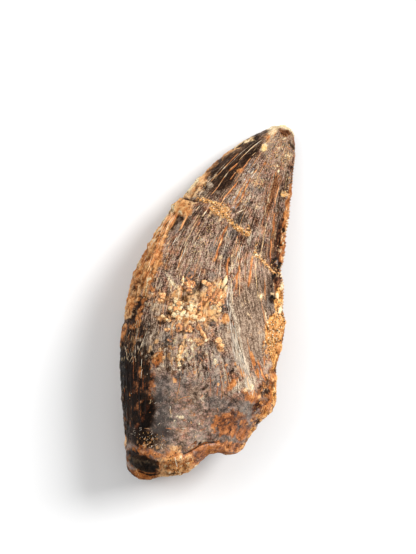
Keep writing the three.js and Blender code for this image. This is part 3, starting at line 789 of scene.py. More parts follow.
# Lighter (above 0) and darker ground: value, (across, along), (half width, half length).
SHADES = [
    # painted highlight: the first two rows brighten the tip's rim and its chipped strip, which turn away from
    # the key light
    (2.4, (2.3, 22.9), (2, 0.6)),
    (1, (0.85, 21.7), (0.45, 1.2)),
    (0.8, (0.45, 19.55), (0.6, 0.8)),
    (0.45, (4.9, -5.8), (0.9, 3.2)),
    # painted light: brightens the front band, which faces away from the key light
    (1, (-8.4, 5.2), (1.4, 6)),
    (-1.3, (-9, -3.2), (1.4, 2.6)),
    (1, (-0.3, 1), (1.4, 2.2)),
    (0.4, (-1.2, -5), (3, 1.6)),
    (-0.6, (-6, -1.6), (1.5, 2)),
    (-0.3, (0.6, 5.6), (1.8, 2.6)),
    (1.4, (-6.4, 13), (1.3, 2.2)),
    (1.2, (-7.3, 10), (1.8, 1.4)),
    (0.8, (0.2, 9.3), (1.6, 0.6)),
    (-1.6, (0.1, 10.4), (0.9, 1.1)),
    (-2.2, (-9.6, -12.5), (1.6, 5.5)),
    (-0.8, (-9.6, 1), (0.5, 5.5)),
    (-1.5, (-2.4, -22.6), (2.6, 0.7)),
    (0.2, (8.2, -1.4), (1.4, 3)),
    (-1.7, (5.8, -13.9), (2.4, 1.5)),
    (0.3, (1, -19.6), (2.2, 1.4)),
    (-0.3, (3.2, -19.4), (1.2, 2.2)),
    (-1.3, (6.5, -16.3), (3.2, 0.7)),
    (0.3, (3.3, -17.5), (1.7, 0.8)),
    (0.5, (0.9, -16.6), (1.6, 1)),
    (-0.2, (6.2, -15.8), (2.2, 0.5)),
    (-1.3, (-3.6, -17.9), (2.8, 1.5)),
    (0.5, (6.6, -11.6), (1.6, 1.4)),
    (-0.9, (-4, 14.8), (2.4, 5)),
    (-1.2, (-1, 18.6), (1, 2.6)),
    (0.3, (1.6, 19.6), (2.2, 2.6)),
    (0.2, (1.4, 15.5), (2, 3.4)),
    (-1.5, (4.55, 14.2), (0.95, 5.2)),
    (0.2, (-0.6, 13.4), (1.8, 2)),
    (-0.6, (4.4, 8.2), (1.8, 2.6)),
    (-0.9, (5.9, 4.6), (0.9, 3.2)),
    (-0.4, (4.6, 2), (2.6, 3.2)),
    (0.15, (5.2, -3.4), (2, 3)),
    (0.3, (2.2, -4.8), (1.5, 3)),
    (0.6, (-1, -7.5), (4, 2.2)),
    (-0.2, (4.6, -11.2), (3.6, 1.8)),
    (-0.3, (-3.3, -12), (1.3, 2.6)),
    (-0.8, (-3.2, -15.2), (2.6, 3.2)),
    (-0.2, (-1.2, -17), (2, 1.3)),
    (0.1, (-3, 7.5), (3.4, 3.4)),
    (-0.7, (6, 8.6), (0.8, 3.4)),
]


# ======================================== the skin's relief and tones
def along_curve(along, points):
    """A value that changes along the tooth, from (along, value) points."""
    keys, values = zip(*points)
    return np.interp(along, keys, values)


class Skin:
    """The grid of points, and what is known of each: its directions, zones, tones and relief."""

    def __init__(self, form):
        self.form = form
        self.normal = outward(form)
        self.across = form[..., 0] + EDGE_WANDER * noise(form, 0.7, 3, 3) + 0.09 * noise(form, 0.33, 5, 1)
        self.along = form[..., 1] + EDGE_WANDER * noise(form, 0.7, 12, 3) + 0.12 * noise(form, 0.38, 6, 1)
        self.line_across = form[..., 0] + 0.13 * noise(form, 0.9, 3, 2)
        self.front = self.edge_line(0)
        self.back = self.edge_line(OUTER_COLUMNS)
        self.grain = grain_lines(form, self.front, self.back)
        self.face = smoothstep(0.35, 0.7, -self.normal[..., 1]) * smoothstep(-13, -15.5, form[..., 1])
        self.crown = 1 - self.face
        upwards = self.normal[..., 2]
        upper_face = self.face * smoothstep(0.05, 0.35, upwards)
        self.outer = smoothstep(-0.45, 0, upwards) * (self.crown + upper_face)
        self.relief = np.zeros(form.shape[:2])
        self.shade = np.zeros(form.shape[:2])
        self.masks = {tone: np.zeros(form.shape[:2]) for tone in TONES}

    def edge_line(self, column):
        """One edge of the crown in plan: growing ways along, and the place across at each."""
        rows = slice(4, int(ROWS * 0.84))
        along = self.form[rows, column, 1][::-1]
        across = self.form[rows, column, 0][::-1]
        keep = along > np.concatenate([[-np.inf], np.maximum.accumulate(along)[:-1]]) + 1e-3
        return along[keep], across[keep]

    def tint(self, tone, share):
        """Lays a tone on: share is 0.5 at the shape's edge."""
        self.masks[tone] = np.maximum(self.masks[tone], np.clip(share, 0, 1))

    def inside(self, centre, radii, lean=0.0):
        """How far inside an ellipse each point lies: 1 at its middle, 0 at its edge, less outside."""
        turn = math.radians(lean)
        dx = self.across - centre[0]
        dy = self.along - centre[1]
        wide = dx * math.cos(turn) + dy * math.sin(turn)
        long = dy * math.cos(turn) - dx * math.sin(turn)
        return 1 - np.hypot(wide / radii[0], long / radii[1])

    def stretched(self):
        """Places in which a step along the growth lines is an even step."""
        return np.stack([self.grain, self.form[..., 1], self.form[..., 2] * 0.4], axis=-1)


def draw_patches(skin):
    """The patches of the table, with ragged edges."""
    ragged = noise(skin.form, 0.5, 35, 2)
    side = np.minimum(2 * skin.outer, 1)
    for tone, centre, radii, lean, rise in PATCHES:
        inside = skin.inside(centre, radii, lean)
        share = 0.5 + inside * min(radii) / max(PATCH_SOFTNESS, 0.8 * min(radii)) + 0.22 * ragged
        skin.tint(tone, side * share)
        skin.relief += skin.outer * (0.6 + 0.5 * ragged) * rise * np.clip(1.15 - (1 - inside) ** 2, 0, 1)


def sink_and_shade_knobs(skin):
    """A sunken rim round each knob of mineral, darkened as painted shade where the knob meets the skin."""
    for _, centre, radii, height, lean in NODULES:
        inside = skin.inside(centre, radii, lean)
        rim = skin.outer * smoothstep(-0.7, -0.15, inside)
        # painted shade: the rim is darkened with black
        skin.tint("black", 0.5 * rim)
        skin.relief -= 0.15 * height * rim


def draw_seams(skin):
    """The seams of the table: grooves and ridges with a tone of their own."""
    patchy = noise(skin.form, 0.8, 33, 3)
    streaks = noise(skin.stretched(), (0.26, 2.2, 2.4), 34, 2)
    for tone, width, rise, points in SEAMS:
        way, share = way_to_line(skin.line_across, skin.form[..., 1], points)
        taper = 0.55 + 0.45 * np.sqrt(np.sin(np.pi * share))
        edge = 0.95 * width * taper * (1 + 0.5 * patchy) / 2
        ribbon = tone == "pale" and width > RIBBON_WIDTH
        strength = 0.3 + 1.2 * streaks if ribbon else 0.75 + 0.4 * streaks
        if tone in VEIN_SHADES and VEIN_WIDTHS[0] < width < FAINT_WIDTH:
            strength = 0.75 * strength
        skin.tint(tone, skin.outer * strength * np.clip(0.5 + (edge - way) / SEAM_SOFTNESS, 0, 1))
        skin.relief += skin.outer * rise * np.exp(-((way / (0.7 * width)) ** 2))


def strew_spots(skin):
    """The small spots, on the outer face in their places and turned round the tooth on the inner one."""
    random = np.random.default_rng(11)
    across, along = skin.across, skin.along
    for tone, count, centre, reach, sizes, rise in STREWN:
        for _ in range(count):
            x, y = spot_in(random, centre, reach)
            wide = random.uniform(*sizes)
            long = wide * random.uniform(0.9, 2.2)
            near = (np.abs(across - x) < 2 * long) & (np.abs(along - y) < 2 * long)
            lean = random.uniform(-0.9, 0.9)
            dx, dy = across[near] - x, along[near] - y
            sideways = dx * math.cos(lean) + dy * math.sin(lean)
            lengthways = dy * math.cos(lean) - dx * math.sin(lean)
            inside = 1 - np.hypot(sideways / wide, lengthways / long)
            side = np.maximum(skin.outer[near], 0.7 * (random.random() < 0.5)) * random.uniform(0.45, 0.95)
            mask = skin.masks[tone]
            mask[near] = np.maximum(mask[near], side * np.clip(0.5 + 0.75 * inside, 0, 1))
            skin.relief[near] += side * rise * np.clip(0.4 + inside, 0, 1)


def shade_ground(skin):
    """Lighter and darker areas: those of the table outside, and random ones inside."""
    for value, centre, radii in SHADES:
        skin.shade += value * skin.outer * smoothstep(-0.25, 0.6, skin.inside(centre, radii))
    skin.shade += (1 - skin.outer) * 0.8 * noise(skin.form, 4, 41, 2)


def draw_bands(skin):
    """The sediment and the wear along both edges, on both faces."""
    ways = {
        "front": skin.across - np.interp(skin.along, *skin.front),
        "back": np.interp(skin.along, *skin.back) - skin.across,
    }
    streaks = noise(skin.stretched(), (0.5, 2.6, 3), 51, 3)
    blots = noise(skin.form, 1.6, 52, 3)
    lumpy = 1 + 1.6 * noise(skin.stretched(), (0.7, 2.4, 2.6), 53, 3)
    lumpy += noise(skin.form, 0.42, 54, 2)
    for tone, edge, band, softness, most, patchy, rise in BANDS:
        width = along_curve(skin.along, band)
        share = np.clip(0.5 + (width - ways[edge]) / softness, 0, most)
        share = share + patchy * (0.6 * streaks + 0.6 * blots)
        skin.tint(tone, skin.crown * np.where(width > 0.02, share, 0))
        skin.relief += skin.crown * rise * lumpy * smoothstep(0.35, 0.6, share) * np.minimum(width, 1)


def stain_front(skin):
    """The dark stain low on the crown and the panels near the tip. Gives where it is glassy and pearly."""
    blots = noise(skin.form, 2.4, 61, 3)
    reach = along_curve(skin.along, STAIN_REACH)
    stain = smoothstep(-1, 0.8, reach - skin.across + 0.7 * blots)
    stain = stain * skin.outer + (1 - skin.outer) * smoothstep(0.1, 0.6, noise(skin.form, 7, 62, 2))
    deep = 1 - skin.outer * smoothstep(-10, -7, skin.along)
    skin.tint("umber", skin.crown * stain * (0.7 + 0.3 * blots))
    skin.tint("dark", skin.crown * deep * stain * (0.78 + 0.3 * noise(skin.form, 1.3, 63, 3)))
    reach = along_curve(skin.along, PANEL_REACH)
    panel = smoothstep(-0.25, 0.35, reach - skin.across) * smoothstep(11.8, 13.2, skin.along) * skin.outer
    skin.tint("umber", panel * (0.72 + 0.4 * noise(skin.stretched(), (0.7, 4, 4), 64, 3)))
    pearly = smoothstep(-8, -11, skin.along + 1.5 * blots) * skin.crown
    calm = 0.85 * smoothstep(1, 3, skin.across) * smoothstep(9, 6, skin.along) * skin.outer
    glassy = np.maximum(np.maximum(pearly, calm), panel)
    return glassy, pearly


def pit_ground(skin):
    """The eroded, knobbly ground in the middle of the outer face, and smaller spots of it inside."""
    ground = np.zeros(skin.across.shape)
    for centre, radii, strength in PITTED_GROUND:
        ground = np.maximum(ground, strength * smoothstep(-0.1, 0.5, skin.inside(centre, radii)))
    spots = smoothstep(0.2, 0.55, noise(skin.form, 5, 71, 2)) * smoothstep(0.5, 0.1, skin.outer)
    ground = skin.outer * ground + (1 - skin.outer) * spots
    push = np.stack([noise(skin.form, 1.1, 72 + i, 2) for i in range(3)], axis=-1)
    lumps = 1.7 * noise(skin.form + 0.5 * push, 1.4, 82, 3) + 0.45 * noise(skin.form, 0.4, 83, 2)
    for centre, radii, lift in RAISED_GROUND:
        lumps += lift * smoothstep(-0.2, 0.6, skin.inside(centre, radii)) * skin.outer
    nearest, second = cells(skin.form + 0.45 * push, 0.95, 81)
    gap = smoothstep(0.14, 0, second - nearest)
    grit = 0.06 * noise(skin.form, 0.42, 84, 2)
    skin.relief += ground * (0.18 * np.clip(lumps, -0.8, 0.9) - 0.07 * gap + grit)
    skin.tint("ochre", ground * 0.5)
    fading = 0.8 + 0.4 * noise(skin.form, 0.5, 85, 2)
    for tone, level, half in GROUND_LAYERS:
        skin.tint(tone, ground * fading * np.clip(0.5 + 2.5 * (half - np.abs(lumps - level)), 0, 0.85))
    skin.tint("umber", ground * 0.4 * gap)
    skin.shade += 0.7 * ground * skin.outer
    return ground


def cover_crown(skin, ground, glassy):
    """Relief of the enamel: flutes and growth lines along it, waves and grit."""
    lines = skin.stretched()
    calm = 1 - 0.6 * glassy
    skin.relief += 0.10 * noise(skin.form, 4.5, 11, 2)
    skin.relief += 0.05 * calm * noise(lines, (0.9, 9, 9), 12, 2)
    skin.relief += 0.035 * calm * noise(lines, (0.34, 3, 5), 13, 2)
    skin.relief += 0.03 * calm * noise(skin.form, 0.5, 14, 2)
    skin.relief += 0.05 * smoothstep(0.2, 0.5, noise(skin.form, 1.1, 15, 3)) * (1 - ground)


def ragged_edges(skin):
    """Chips and crust along both edges of the crown."""
    from_front = np.abs(skin.form[..., 0] - np.interp(skin.form[..., 1], *skin.front))
    from_back = np.abs(skin.form[..., 0] - np.interp(skin.form[..., 1], *skin.back))
    near = smoothstep(1.3, 0.2, np.minimum(from_front, from_back)) * skin.crown
    skin.relief += near * (0.16 * noise(skin.form, 0.75, 46, 2) + 0.08 * noise(skin.form, 0.35, 47, 1))


def rings_of_break(skin):
    """How far each point of the broken base lies from its middle: 0 there and 1 at the rim."""
    way = np.linalg.norm((skin.form - skin.form[-1].mean(axis=0)) * (1, 0.3, 1), axis=2)
    rim = np.max(way * (skin.face > 0.5), axis=0)
    return way / np.maximum(blurred(rim, 5.0, axis=0, wraps=True), 1)


def fill_break(skin):
    """Below the rim the base shows dentine in rings, and sediment in the hollow of the pulp."""
    inside = skin.face * (1 - skin.outer)
    ring = rings_of_break(skin)
    edge = ring + 0.22 * noise(skin.form, 2.2, 91, 3)
    turn = (skin.form - skin.form[-1].mean(axis=0)) / 6
    rings = noise(np.stack([7 * ring, 1.2 * turn[..., 0], 1.2 * turn[..., 2]], axis=-1), 1, 92, 3)
    rim = smoothstep(0.9, 0.96, ring + 0.03 * rings) * smoothstep(1.05, 0.98, ring)
    hollow = inside * smoothstep(0.62, 0.42, edge)
    dentine = inside * smoothstep(0.42, 0.62, edge) * smoothstep(1, 0.9, ring)
    skin.tint("umber", dentine * (0.55 + 0.8 * rings))
    skin.tint("russet", dentine * (0.30 - 0.9 * rings))
    skin.tint("ochre", dentine * (0.62 - 1.1 * rings))
    warm = smoothstep(-0.35, 0, skin.normal[..., 2]) * smoothstep(-1.8, -0.8, skin.form[..., 0])
    skin.tint("pale", dentine * (1 - warm) * (0.1 + 1.2 * noise(skin.form, 1.2, 93, 3)))
    skin.tint("rust", inside * warm * (0.6 + 0.9 * noise(skin.form, 0.9, 100, 3)))
    skin.tint("orange", inside * warm * (0.56 + 0.9 * noise(skin.form, 0.8, 101, 3)))
    skin.tint("cream", inside * warm * (0.2 + noise(skin.form, 0.35, 102, 2)))
    skin.tint("dark", inside * (1 - 0.8 * warm) * rim)
    skin.tint("sand", hollow * (0.8 + 0.5 * noise(skin.form, 1, 94, 3)))
    skin.tint("rust", hollow * (0.3 + 1.4 * noise(skin.form, 1.8, 95, 3)))
    skin.tint("dark", hollow * 1.6 * noise(skin.form, 0.9, 96, 3))
    skin.tint("orange", hollow * 1.5 * noise(skin.form, 0.7, 97, 2))
    rough = 0.30 * noise(skin.form, 1, 98, 3) + 0.12 * noise(skin.form, 0.4, 99, 2)
    skin.relief += hollow * (rough - 0.75 * smoothstep(0.62, 0.2, edge)) + dentine * 0.14 * rings


def roughen_break(skin):
    """The upper rim of the broken base: bare dentine and dark crust."""
    rough = 0.24 * noise(skin.form, 1.7, 21, 3) + 0.12 * np.abs(noise(skin.form, 0.6, 22, 2))
    skin.relief = skin.relief * skin.crown + skin.face * (skin.relief * 0.5 + rough)
    rim = skin.face * smoothstep(0, 0.5, skin.outer)
    bare = rim * smoothstep(-2.2, -0.4, skin.across) * (1 - smoothstep(1, 2.2, skin.across))
    skin.tint("ochre", bare * (0.8 + 0.5 * noise(skin.form, 1.4, 23, 3)))
    skin.tint("rust", rim * (0.75 + 0.5 * noise(skin.form, 1.9, 24, 3)))
    left = rim * smoothstep(-0.4, -2.2, skin.across)
    skin.tint("dark", left * (0.85 + 0.5 * noise(skin.form, 1.1, 25, 3)))
    fill_break(skin)


def crack_grain(skin):
    """Cracks that follow the growth lines, on both faces."""
    random = np.random.default_rng(7)
    wander = 0.12 * noise(skin.stretched(), (1.5, 2.2, 4), 31, 3)
    high_outer = skin.outer * smoothstep(-11, -8, skin.along)
    for _ in range(FINE_CRACKS):
        side = high_outer if random.random() < 0.5 else 1 - skin.outer
        tone = random.choice(("orange", "pale", "cream", "dark", "ochre"), p=(0.3, 0.24, 0.22, 0.14, 0.1))
        line = random.uniform(-7.6, 6.0)
        middle = random.uniform(-12, 19)
        reach = random.uniform(1.0, 3.5)
        width = random.uniform(0.06, 0.14)
        way = np.abs(skin.grain + wander - line)
        end = 1 - ((skin.form[..., 1] - middle) / reach) ** 2
        share = np.where(end > 0, 0.5 + (width / 2 * np.clip(end, 0, 1) - way) / SEAM_SOFTNESS, 0)
        skin.tint(tone, skin.crown * side * share)
        skin.relief -= 0.05 * side * np.clip(end, 0, 1) * np.exp(-((way / 0.12) ** 2))


def slope_of_grain(across, along, front, back):
    """How the growth lines lean: like the nearer edge, and out to the back margin low on the crown."""
    left = np.interp(along, *front)
    share = (across - left) / (np.interp(along, *back) - left)
    step = 1.5
    lean_front = (np.interp(along + step, *front) - np.interp(along - step, *front)) / (2 * step)
    lean_back = (np.interp(along + step, *back) - np.interp(along - step, *back)) / (2 * step)
    run_out = np.exp(-(((share - 0.78) / 0.28) ** 2)) * np.exp(-(((along + 4.5) / 7.5) ** 2))
    return lean_front + (lean_back - lean_front) * share - 0.42 * run_out


def grain_lines(form, front, back):
    """For each point, where its growth line crosses the middle of the crown: equal along one line."""
    middle = 8.0
    steps = 40
    across = form[..., 0].copy()
    along = form[..., 1].copy()
    step = (middle - along) / steps
    for _ in range(steps):
        across += step * slope_of_grain(across, along, front, back)
        along += step
    return across


def hollows(relief):
    """How far each point stands above (up to 1) or below (to -1) the ground close round it."""
    level = blurred(blurred(relief, 3.2, axis=1, wraps=True), 1.9, axis=0, wraps=False)
    return np.clip((relief - level) / 0.07, -1, 1)


def tooth_skin():
    """The finished skin: what is known of it, its points, and the masks that steer its finish."""
    skin = Skin(smooth_form())
    draw_patches(skin)
    draw_seams(skin)
    sink_and_shade_knobs(skin)
    strew_spots(skin)
    shade_ground(skin)
    draw_bands(skin)
    glassy, pearly = stain_front(skin)
    ground = pit_ground(skin)
    cover_crown(skin, ground, glassy)
    crack_grain(skin)
    ragged_edges(skin)
    roughen_break(skin)
    relief = skin.relief * smoothstep(0, 5, np.arange(ROWS + 1))[:, None]
    places = skin.form + skin.normal * relief[..., None]
    places[..., 2] = np.maximum(places[..., 2], 0)
    places[0] = places[0].mean(axis=0)
    places[-1] = places[-1].mean(axis=0)
    extra = dict(grain=skin.grain, hollow=hollows(relief), glassy=glassy, pearly=pearly, shade=skin.shade)
    return skin, places, dict(skin.masks, **extra)


# ======================================== the pieces
def add_object(name, data):
    """An object at the origin, in the scene."""
    made = bpy.data.objects.new(name, data)
    bpy.context.scene.collection.objects.link(made)
    return made


def mapped_shape():
    """An empty bmesh with a map for the bake."""
    shape = bmesh.new()
    shape.loops.layers.uv.new(BAKE_MAP)
    return shape


def join(whole, shape, mesh):
    """Moves a shape into a larger one, by way of a mesh."""
    shape.to_mesh(mesh)
    shape.free()
    whole.from_mesh(mesh)


def mesh_from_grid(name, skin, masks):
    """A closed mesh from rows and columns of points. The masks become its attributes."""
    rows, columns = skin.shape[:2]
    sheet = mapped_shape()
    bmesh.ops.create_grid(sheet, x_segments=columns, y_segments=rows - 1, size=1, calc_uvs=True)
    mesh = bpy.data.meshes.new(name)
    sheet.to_mesh(mesh)
    corners = np.empty(len(mesh.vertices) * 3)
    mesh.vertices.foreach_get("co", corners)
    corners = corners.reshape(-1, 3)
    column = np.rint((corners[:, 0] + 1) / 2 * columns).astype(int) % columns
    row = np.rint((1 - corners[:, 1]) / 2 * (rows - 1)).astype(int)
    mesh.vertices.foreach_set("co", (skin[row, column] * MM).astype(np.float32).ravel())
    for label, values in masks.items():
        layer = mesh.attributes.new(label, "FLOAT", "POINT")
        layer.data.foreach_set("value", values[row, column].astype(np.float32))
    sheet.clear()
    sheet.from_mesh(mesh)
    bmesh.ops.remove_doubles(sheet, verts=sheet.verts, dist=1e-7)
    bmesh.ops.recalc_face_normals(sheet, faces=sheet.faces)
    for face in sheet.faces:
        face.smooth = True
    sheet.to_mesh(mesh)
    sheet.free()
    return add_object(name, mesh)


def skin_tree(mesh):
    """The finished skin in millimetres, to set small pieces on."""
    corners = [vertex.co / MM for vertex in mesh.vertices]
    return BVHTree.FromPolygons(corners, [face.vertices[:] for face in mesh.polygons])


def landed(tree, across, along):
    """The outer face straight below a place: the point and its normal."""
    point, normal, _, _ = tree.ray_cast(Vector((across, along, 30)), Vector((0, 0, -1)))
    return point, normal


def scene_piece(mesh, shades):
    """A mesh made into a piece, with one shade for each of its points."""
    layer = mesh.attributes.new("shade", "FLOAT", "POINT")
    layer.data.foreach_set("value", np.asarray(shades, np.float32))
    return add_object(mesh.name, mesh)


def into_cells(mesh, owner):
    """Moves each lump's part of the map into a cell of its own. owner says which lump each vertex is in."""
    layer = mesh.uv_layers[BAKE_MAP].data
    spots = np.empty(2 * len(layer), np.float32)
    layer.foreach_get("uv", spots)
    spots = spots.reshape(-1, 2)
    spots = (spots - spots.min(axis=0)) / np.ptp(spots, axis=0)
    corners = np.empty(len(layer), np.int32)
    mesh.loops.foreach_get("vertex_index", corners)
    owner = np.asarray(owner)
    side = math.ceil(math.sqrt(owner.max() + 1))
    corner_cells = np.stack([owner % side, owner // side], axis=1)[corners]
    layer.foreach_set("uv", ((0.1 + 0.8 * spots + corner_cells) / side).astype(np.float32).ravel())


def lumps_mesh(name, places, shades, subdivisions=1):
    """Many small lumps: an icosphere for each matrix, in one shade each."""
    mesh = bpy.data.meshes.new(name)
    whole = mapped_shape()
    ball = dict(subdivisions=subdivisions, radius=MM, calc_uvs=True)
    for start in range(0, len(places), CHUNK):
        part = mapped_shape()
        for place in places[start : start + CHUNK]:
            bmesh.ops.create_icosphere(part, matrix=place, **ball)
        join(whole, part, mesh)
    whole.to_mesh(mesh)
    whole.free()
    each = len(mesh.vertices) // len(places)
    into_cells(mesh, np.repeat(np.arange(len(places)), each))
    return scene_piece(mesh, np.repeat(shades, each))


def knob_lumps(random):
    """The knobs' lumps: (across, along), half sizes, how high its middle lies, shade, lean, subdivisions."""
    for shade, centre, radii, height, lean in NODULES:
        yield centre, (*radii, 0.32 * height), 0, shade - 0.06, lean, 3
        turn = math.radians(lean)
        longest = 2.0 if radii[1] > 2 * radii[0] else 1.2
        for _ in range(3 + int(KNOB_LUMPS * radii[0] * radii[1])):
            angle, way = random.uniform(0, 2 * math.pi), 0.9 * math.sqrt(random.random())
            x, y = way * radii[0] * math.cos(angle), way * radii[1] * math.sin(angle)
            across = centre[0] + x * math.cos(turn) - y * math.sin(turn)
            along = centre[1] + x * math.sin(turn) + y * math.cos(turn)
            size = random.uniform(0.07, 0.15)
            sizes = (size, size * random.uniform(0.8, longest), 0.7 * size)
            lift = 0.28 * height * (1 - way**2)
            yield (across, along), sizes, lift, shade + random.uniform(-0.3, 0.16), lean, 2


def knob_place(tree, centre, radii, lift, lean):
    """The matrix that flattens a round lump and sets it on the skin, nearly level even on a pit's slope."""
    point, normal = landed(tree, *centre)
    normal = (normal + Vector((0, 0, 2.5))).normalized()
    lengthways = (Vector((0, 1, 0)) - normal * normal.y).normalized()
    turn = Matrix((lengthways.cross(normal), lengthways, normal)).transposed().to_4x4()
    turn = turn @ Matrix.Rotation(math.radians(lean), 4, "Z")
    stretch = Matrix.Diagonal((*(size * MM for size in radii), 1))
    return Matrix.Translation((point + normal * lift) * MM) @ turn @ stretch


def nodules(tree):
    """The knobs of mineral: each an uneven flat lump, half sunk in the skin, with small lumps on it."""
    random = np.random.default_rng(41)
    mesh = bpy.data.meshes.new("nodules")
    whole = mapped_shape()
    shades, owner = [], []
    for number, (centre, radii, lift, shade, lean, subdivisions) in enumerate(knob_lumps(random)):
        knob = mapped_shape()
        bmesh.ops.create_icosphere(knob, subdivisions=subdivisions, radius=1, calc_uvs=True)
        corners = np.array([vertex.co for vertex in knob.verts])
        swells = 1 + 0.9 * noise(corners + random.uniform(0, 99, 3), 0.9, 3, 3)
        for vertex, swell in zip(knob.verts, swells):
            vertex.co *= swell
        place = knob_place(tree, centre, radii, lift, lean)
        bmesh.ops.transform(knob, matrix=place, verts=knob.verts)
        shades += [shade] * len(knob.verts)
        owner += [number] * len(knob.verts)
        join(whole, knob, mesh)
    whole.to_mesh(mesh)
    whole.free()
    into_cells(mesh, owner)
    mesh.shade_smooth()
    return scene_piece(mesh, shades)


def grain_spots(random):
    """The grains' places across and along, radii and shades: along the sandy seams, and from the table."""
    for tone, width, _, points in SEAMS:
        if tone != "sand":
            continue
        for (x0, y0), (x1, y1) in zip(points, points[1:]):
            for _ in range(int(SEAM_GRAINS * math.hypot(x1 - x0, y1 - y0))):
                t = random.random()
                x = x0 + t * (x1 - x0) + random.normal(0, 0.3) * width
                y = y0 + t * (y1 - y0) + random.normal(0, 0.3) * width
                yield x, y, random.uniform(0.04, 0.09), random.choice(GRAIN_SHADES)
    for count, centre, reach, radii, low in GRAINS:
        for _ in range(count):
            x, y = spot_in(random, centre, reach)
            yield x, y, random.uniform(*radii), max(random.choice(GRAIN_SHADES), low)


def sand_grains(tree):
    """Grains of sediment on the filled cracks, the margins and the broken base."""
    random = np.random.default_rng(21)
    places, shades = [], []
    for x, y, radius, shade in grain_spots(random):
        point, normal = landed(tree, x, y)
        if point is None or normal.z < 0.5:
            continue
        centre = point + normal * radius * random.uniform(-0.2, 0.25)
        turn = Euler(random.uniform(0, 6.28, 3)).to_matrix().to_4x4()
        stretch = Matrix.Diagonal((*(radius * random.uniform(0.7, 1.3, 3)), 1))
        places.append(Matrix.Translation(centre * MM) @ turn @ stretch)
        shades.append(shade + random.uniform(-0.06, 0.06))
    return lumps_mesh("sand_grains", places, shades)


def back_edge(places):
    """The line of the back edge from the tip down, and how far along it each of its points lies."""
    rows = np.arange(3, int(0.86 * ROWS))
    columns = np.argmax(places[rows, :, 0], axis=1)
    edge = blurred(places[rows, columns], 1.5, axis=0, wraps=False)
    return edge, way_along(edge)


def serrations(places):
    """The denticles of the back edge, worn near the tip and half buried low down. A few are missing."""
    random = np.random.default_rng(23)
    edge, way = back_edge(places)
    lumps, shades = [], []
    for at in np.arange(3.0, way[-1], DENTICLE_PITCH):
        at += random.uniform(-0.04, 0.04)
        spot, ahead, behind = (Vector(points_at(at + step, way, edge)) for step in (0, -0.5, 0.5))
        if spot.y < DENTICLE_SIZES[0][0] or random.random() < 0.08:
            continue
        size = float(along_curve(spot.y, DENTICLE_SIZES))
        size *= random.uniform(0.75, 1.1)
        tipwards = (ahead - behind).normalized()
        out = (Vector((1, 0, 0.12)) - tipwards * tipwards.x).normalized()
        turn = Matrix((out, tipwards, out.cross(tipwards))).transposed().to_4x4()
        half = Matrix.Diagonal((0.27 * size, 0.16 * size, 0.36 * size, 1))
        lumps.append(Matrix.Translation((spot - out * 0.15 * size) * MM) @ turn @ half)
        shades.append(random.uniform(0.0, 0.8) * (1 if random.random() < 0.5 else 0.6))
    piece = lumps_mesh("serrations", lumps, shades, subdivisions=2)
    piece.data.shade_smooth()
    return piece


def vein_path(points, random):
    """A crack's line with small wanders, in even steps, and at each its share of the width and its tint."""
    points = np.asarray(points, float)
    way = way_along(points)
    steps = np.arange(0, way[-1], VEIN_STEP)
    line = points_at(steps, way, points)
    line = blurred(line, 3.0, axis=0, wraps=False) if len(line) > 8 else line
    seed = int(random.integers(1000))
    along_it = np.stack([steps, np.zeros_like(steps), np.zeros_like(steps)], axis=-1)
    line[:, 0] += 0.09 * noise(along_it, 0.9, seed, 4)
    swell = noise(along_it, 0.8, seed + 50, 3)
    taper = np.sin(np.pi * np.clip(steps / way[-1], 0.02, 0.98)) ** 0.35
    return line, np.clip(taper * (0.75 + 0.6 * swell), 0.15, 1.3), noise(along_it, 0.7, seed + 90, 3)


def ring_edges(ring):
    """The edges that join a ring's vertices to each other."""
    joined = [edge for vertex in ring for edge in vertex.link_edges if edge.other_vert(vertex) in ring]
    return list(dict.fromkeys(joined))


def draw_vein(shape, tree, points, width, shade, random):
    """One filled crack: a thin ring, extruded step by step over the skin. Gives the vertices' shades."""
    line, swell, tints = vein_path(points, random)
    spread = 0.42 if shade < 0.96 else 0.25
    shades = []
    ring, last = None, None
    for i in range(1, len(line) - 1):
        point, normal = landed(tree, *line[i])
        if point is None or normal.z < 0.25:
            break
        tangent = Vector((*(line[i + 1] - line[i - 1]), 0))
        tangent = (tangent - normal * tangent.dot(normal)).normalized()
        axes = Matrix((tangent.cross(normal), normal, tangent)).transposed().to_4x4()
        section = Matrix.Diagonal((width * swell[i] / 2, VEIN_HEIGHT, 1, 1))
        section = Matrix.Translation(point * MM) @ axes @ section
        if ring is None:
            circle = dict(cap_ends=True, segments=VEIN_CORNERS, radius=MM)
            ring = bmesh.ops.create_circle(shape, matrix=section, **circle)["verts"]
        else:
            made = bmesh.ops.extrude_edge_only(shape, edges=ring_edges(ring))["geom"]
            ring = [part for part in made if isinstance(part, bmesh.types.BMVert)]
            bmesh.ops.transform(shape, matrix=section @ last.inverted(), verts=ring)
        last = section
        shades += [shade + spread * tints[i]] * VEIN_CORNERS
    if ring is not None:
        bmesh.ops.edgeloop_fill(shape, edges=ring_edges(ring))
    return shades


def growth_run(skin, place, side, reach):
    """Points of the growth line that leaves a place towards the tip (side 1) or the break (side -1)."""
    across, along = place
    run = []
    for _ in range(int(reach / GROWTH_STEP)):
        across += side * GROWTH_STEP * float(slope_of_grain(across, along, skin.front, skin.back))
        along += side * GROWTH_STEP
        run.append((across, along))
    return run


def fibre_lines(random):
    """Stretches of fibre beside each other along the pale band."""
    for count, points, stray, tints in FIBRES:
        points = np.asarray(points, float)
        share = np.linspace(0, 1, len(points))
        for _ in range(count):
            start = random.uniform(-0.1, 0.8)
            reach = np.linspace(start, start + random.uniform(0.15, 0.4), 6).clip(0, 1)
            line = points_at(reach, share, points) + (random.normal(0, 0.6) * stray, 0)
            yield line, random.uniform(0.04, 0.1), random.uniform(*tints)


